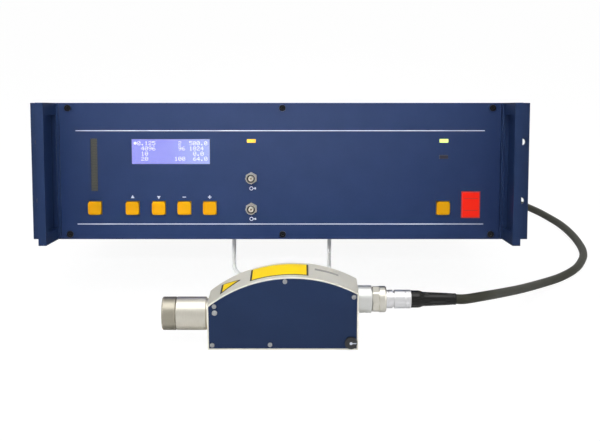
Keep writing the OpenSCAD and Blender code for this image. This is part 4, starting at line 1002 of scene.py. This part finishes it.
def connectors():
    """Plugs, boots, nuts and sockets of both ends of the cable; gives those that go with the cable."""
    metal = [laid(plug_metal(), HEAD @ HEAD_PLUG), laid(plug_metal(), CONTROLLER @ REAR_PLUG)]
    plugs = fitted(joined("plug_bodies", metal), Matrix(), "instrument", matt_chrome, "plug_nickel", "plugs")
    relief = [laid(plug_boot(), HEAD @ HEAD_PLUG), laid(plug_boot(), CONTROLLER @ REAR_PLUG)]
    boots = fitted(joined("plug_boots", relief), Matrix(), "instrument", boot_rubber, "black_plastic")
    nuts = [
        fitted(laid(coupling_nut(f"{node}_flats"), at), unit, node, satin_nickel, "nickel_plate", node)
        for node, unit, at in (("head_nut", HEAD, HEAD_PLUG), ("rear_nut", CONTROLLER, REAR_PLUG))
    ]
    for node, length, unit, at, finish in (
        ("head_socket", 12.1, HEAD, HEAD_PLUG, socket_anodised),
        ("rear_socket", 6.05, CONTROLLER, REAR_PLUG, satin_nickel),
    ):
        fitted(laid(socket_metal(f"{node}_silver", length), at), unit, "instrument", finish, "nickel_plate", node)
    return [plugs, boots, *nuts]


# CAD shapes that stay as they are, each with its finish

CAD_FINISHES = {
    "display_window": acrylic, "front_board": laminate, "board_pillars": brass, "bar_display": smoked_lens,
    "bar_segments": dark_segment, "button_switches": black_moulding, "fan_rotor": black_moulding,
    "main_board": laminate, "front_lens": coated_glass, "optics_bench": mill_aluminium,
}
# CAD shapes whose edges are rounded: their new name, the width of the rounding in millimetres, the finish and the slot
ROUNDED = {
    "front_panel": ("painted_panel", 0.3, panel_coat, "panel_paint"),
    "rack_bracket_left": ("left_handle", 0.5, bracket_coat, "bracket_paint"),
    "rack_bracket_right": ("right_handle", 0.5, bracket_coat, "bracket_paint"),
    "side_plate_left": ("left_side_sheet", 0.3, mill_aluminium, "raw_aluminium"),
    "side_plate_right": ("right_side_sheet", 0.3, mill_aluminium, "raw_aluminium"),
    "front_rails": ("front_cross_rails", 0.3, mill_aluminium, "raw_aluminium"),
    "rear_rails": ("rear_cross_rails", 0.3, mill_aluminium, "raw_aluminium"),
    "top_cover": ("top_sheet", 0.3, cover_coat, "cover_paint"),
    "bottom_cover": ("bottom_sheet", 0.3, cover_coat, "cover_paint"),
    "rear_panel": ("rear_sheet", 0.25, rear_anodised, "anodised_rear"),
    "case_screws": ("case_screw_heads", 0.2, black_oxide, "black_steel"),
    "case_feet": ("rubber_feet", 1.0, foot_rubber, "foot_rubber"),
    "bail_clips": ("bail_clip_blocks", 0.4, black_moulding, "black_plastic"),
    "tilt_bail": ("bail_wire", 0.1, bail_coat, "white_wire"),
    "mains_inlet": ("inlet_housing", 0.4, black_moulding, "black_plastic"),
    "fan_housing": ("fan_frame", 0.4, black_moulding, "black_plastic"),
    "fan_guard": ("fan_guard_wires", 0.1, zinc_wire, "zinc_wire"),
    "power_supply": ("supply_case", 0.3, zinc_sheet, "zinc_sheet"),
    "head_shell": ("arched_shell", 0.4, blasted, "head_silver"),
    "head_base": ("head_floor", 0.4, blasted, "head_silver"),
    "head_side_plates": ("head_cheeks", 0.25, head_coat, "panel_paint"),
}


FLOOR_SIZE, FLOOR_BELOW = 12, 0.0004
# The floor glows by itself where the camera sees it, so that it is as white as the background
FLOOR_GLOW_SHARE, FLOOR_GLOW = 0.88, 1.06
WORLD_LIGHT, WORLD_MIRRORED = 0.5, 0.55
# Each lamp's name, place, aim, size in metres, power in watts, and spread in degrees
STUDIO_LAMPS = (
    ("overhead", (0.0, -0.55, 1.35), (0, -0.1, 0.1), 1.2, 9, 180),
    ("left", (-1.3, -0.9, 0.7), (0, -0.15, 0.1), 0.8, 3.5, 180),
    ("right", (1.4, -0.8, 0.6), (0, -0.15, 0.1), 0.8, 3, 180),
    ("front", (-0.08, -1.9, 0.95), (-0.035, -0.1, 0.25), 0.4, 0.8, 17),
)


def seen(owner):
    """Light path node, and an output that is 1 on rays from the camera, straight or through glass."""
    path = add_node(owner, "ShaderNodeLightPath")
    return path, maths(owner, "MAXIMUM", path.outputs["Is Camera Ray"], path.outputs["Is Transmission Ray"])


def studio():
    """Pale floor in front of white, a big soft lamp overhead, two weaker ones at the sides and a narrow one in front.

    The front lamp brightens the middle of the panel, and isn't mirrored in anything.
    """
    bpy.ops.mesh.primitive_plane_add(size=FLOOR_SIZE, location=(0, 0, -FLOOR_BELOW))
    floor = started("floor")
    material = bpy.data.materials.new("studio_floor")
    material.use_nodes = True
    tree = material.node_tree
    shader = tree.nodes["Principled BSDF"]
    shader.inputs["Base Color"].default_value = linear("#f2f2f2")
    shader.inputs["Roughness"].default_value = 0.9
    share = maths(material, "MULTIPLY", seen(material)[1], FLOOR_GLOW_SHARE)
    glow = add_node(material, "ShaderNodeEmission", {"Color": (1, 1, 1, 1), "Strength": FLOOR_GLOW})
    both = add_node(material, "ShaderNodeMixShader", {0: share, 1: shader.outputs[0], 2: glow.outputs[0]})
    tree.links.new(both.outputs[0], tree.nodes["Material Output"].inputs["Surface"])
    floor.data.materials.append(material)

    world = bpy.data.worlds.new("studio")
    bpy.context.scene.world = world
    world.use_nodes = True
    backdrop = world.node_tree.nodes["Background"]
    backdrop.inputs["Color"].default_value = (1, 1, 1, 1)
    path, by_camera = seen(world)
    mirrored = maths(world, "MULTIPLY", path.outputs["Is Glossy Ray"], WORLD_MIRRORED)
    share = maths(world, "MAXIMUM", by_camera, mirrored)
    strength = add_node(world, "ShaderNodeMapRange", {"Value": share, "To Min": WORLD_LIGHT})
    world.node_tree.links.new(strength.outputs["Result"], backdrop.inputs["Strength"])

    for name, place, aim, size, power, spread in STUDIO_LAMPS:
        bpy.ops.object.light_add(type="AREA", location=place)
        lamp = bpy.context.active_object
        lamp.name = lamp.data.name = name
        lamp.data.size, lamp.data.energy, lamp.data.spread = size, power, math.radians(spread)
        lamp.visible_glossy = name != "front"
        lamp.rotation_euler = (Vector(aim) - Vector(place)).to_track_quat("-Z", "Y").to_euler()
    bpy.context.scene.view_settings.view_transform = "Standard"


bpy.ops.object.select_all(action="DESELECT")
lead = laid_cable()
lead.data.materials.append(jacket)
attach(lead, "instrument")
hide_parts("sensor_cable", "cable_coil")
on_the_lead = connectors()

for node, finish in CAD_FINISHES.items():
    frame["nodes"][node].data.materials.clear()
    frame["nodes"][node].data.materials.append(finish)
for node, (name, width, finish, slot) in ROUNDED.items():
    crisp_copy(node, name, width, finish)
symbols()
display()
keys()
lamps()
jacks()
power_switch()
panel_screws()
yellow_plates()
plate_screws()
shutter()
lens_end()
studio()
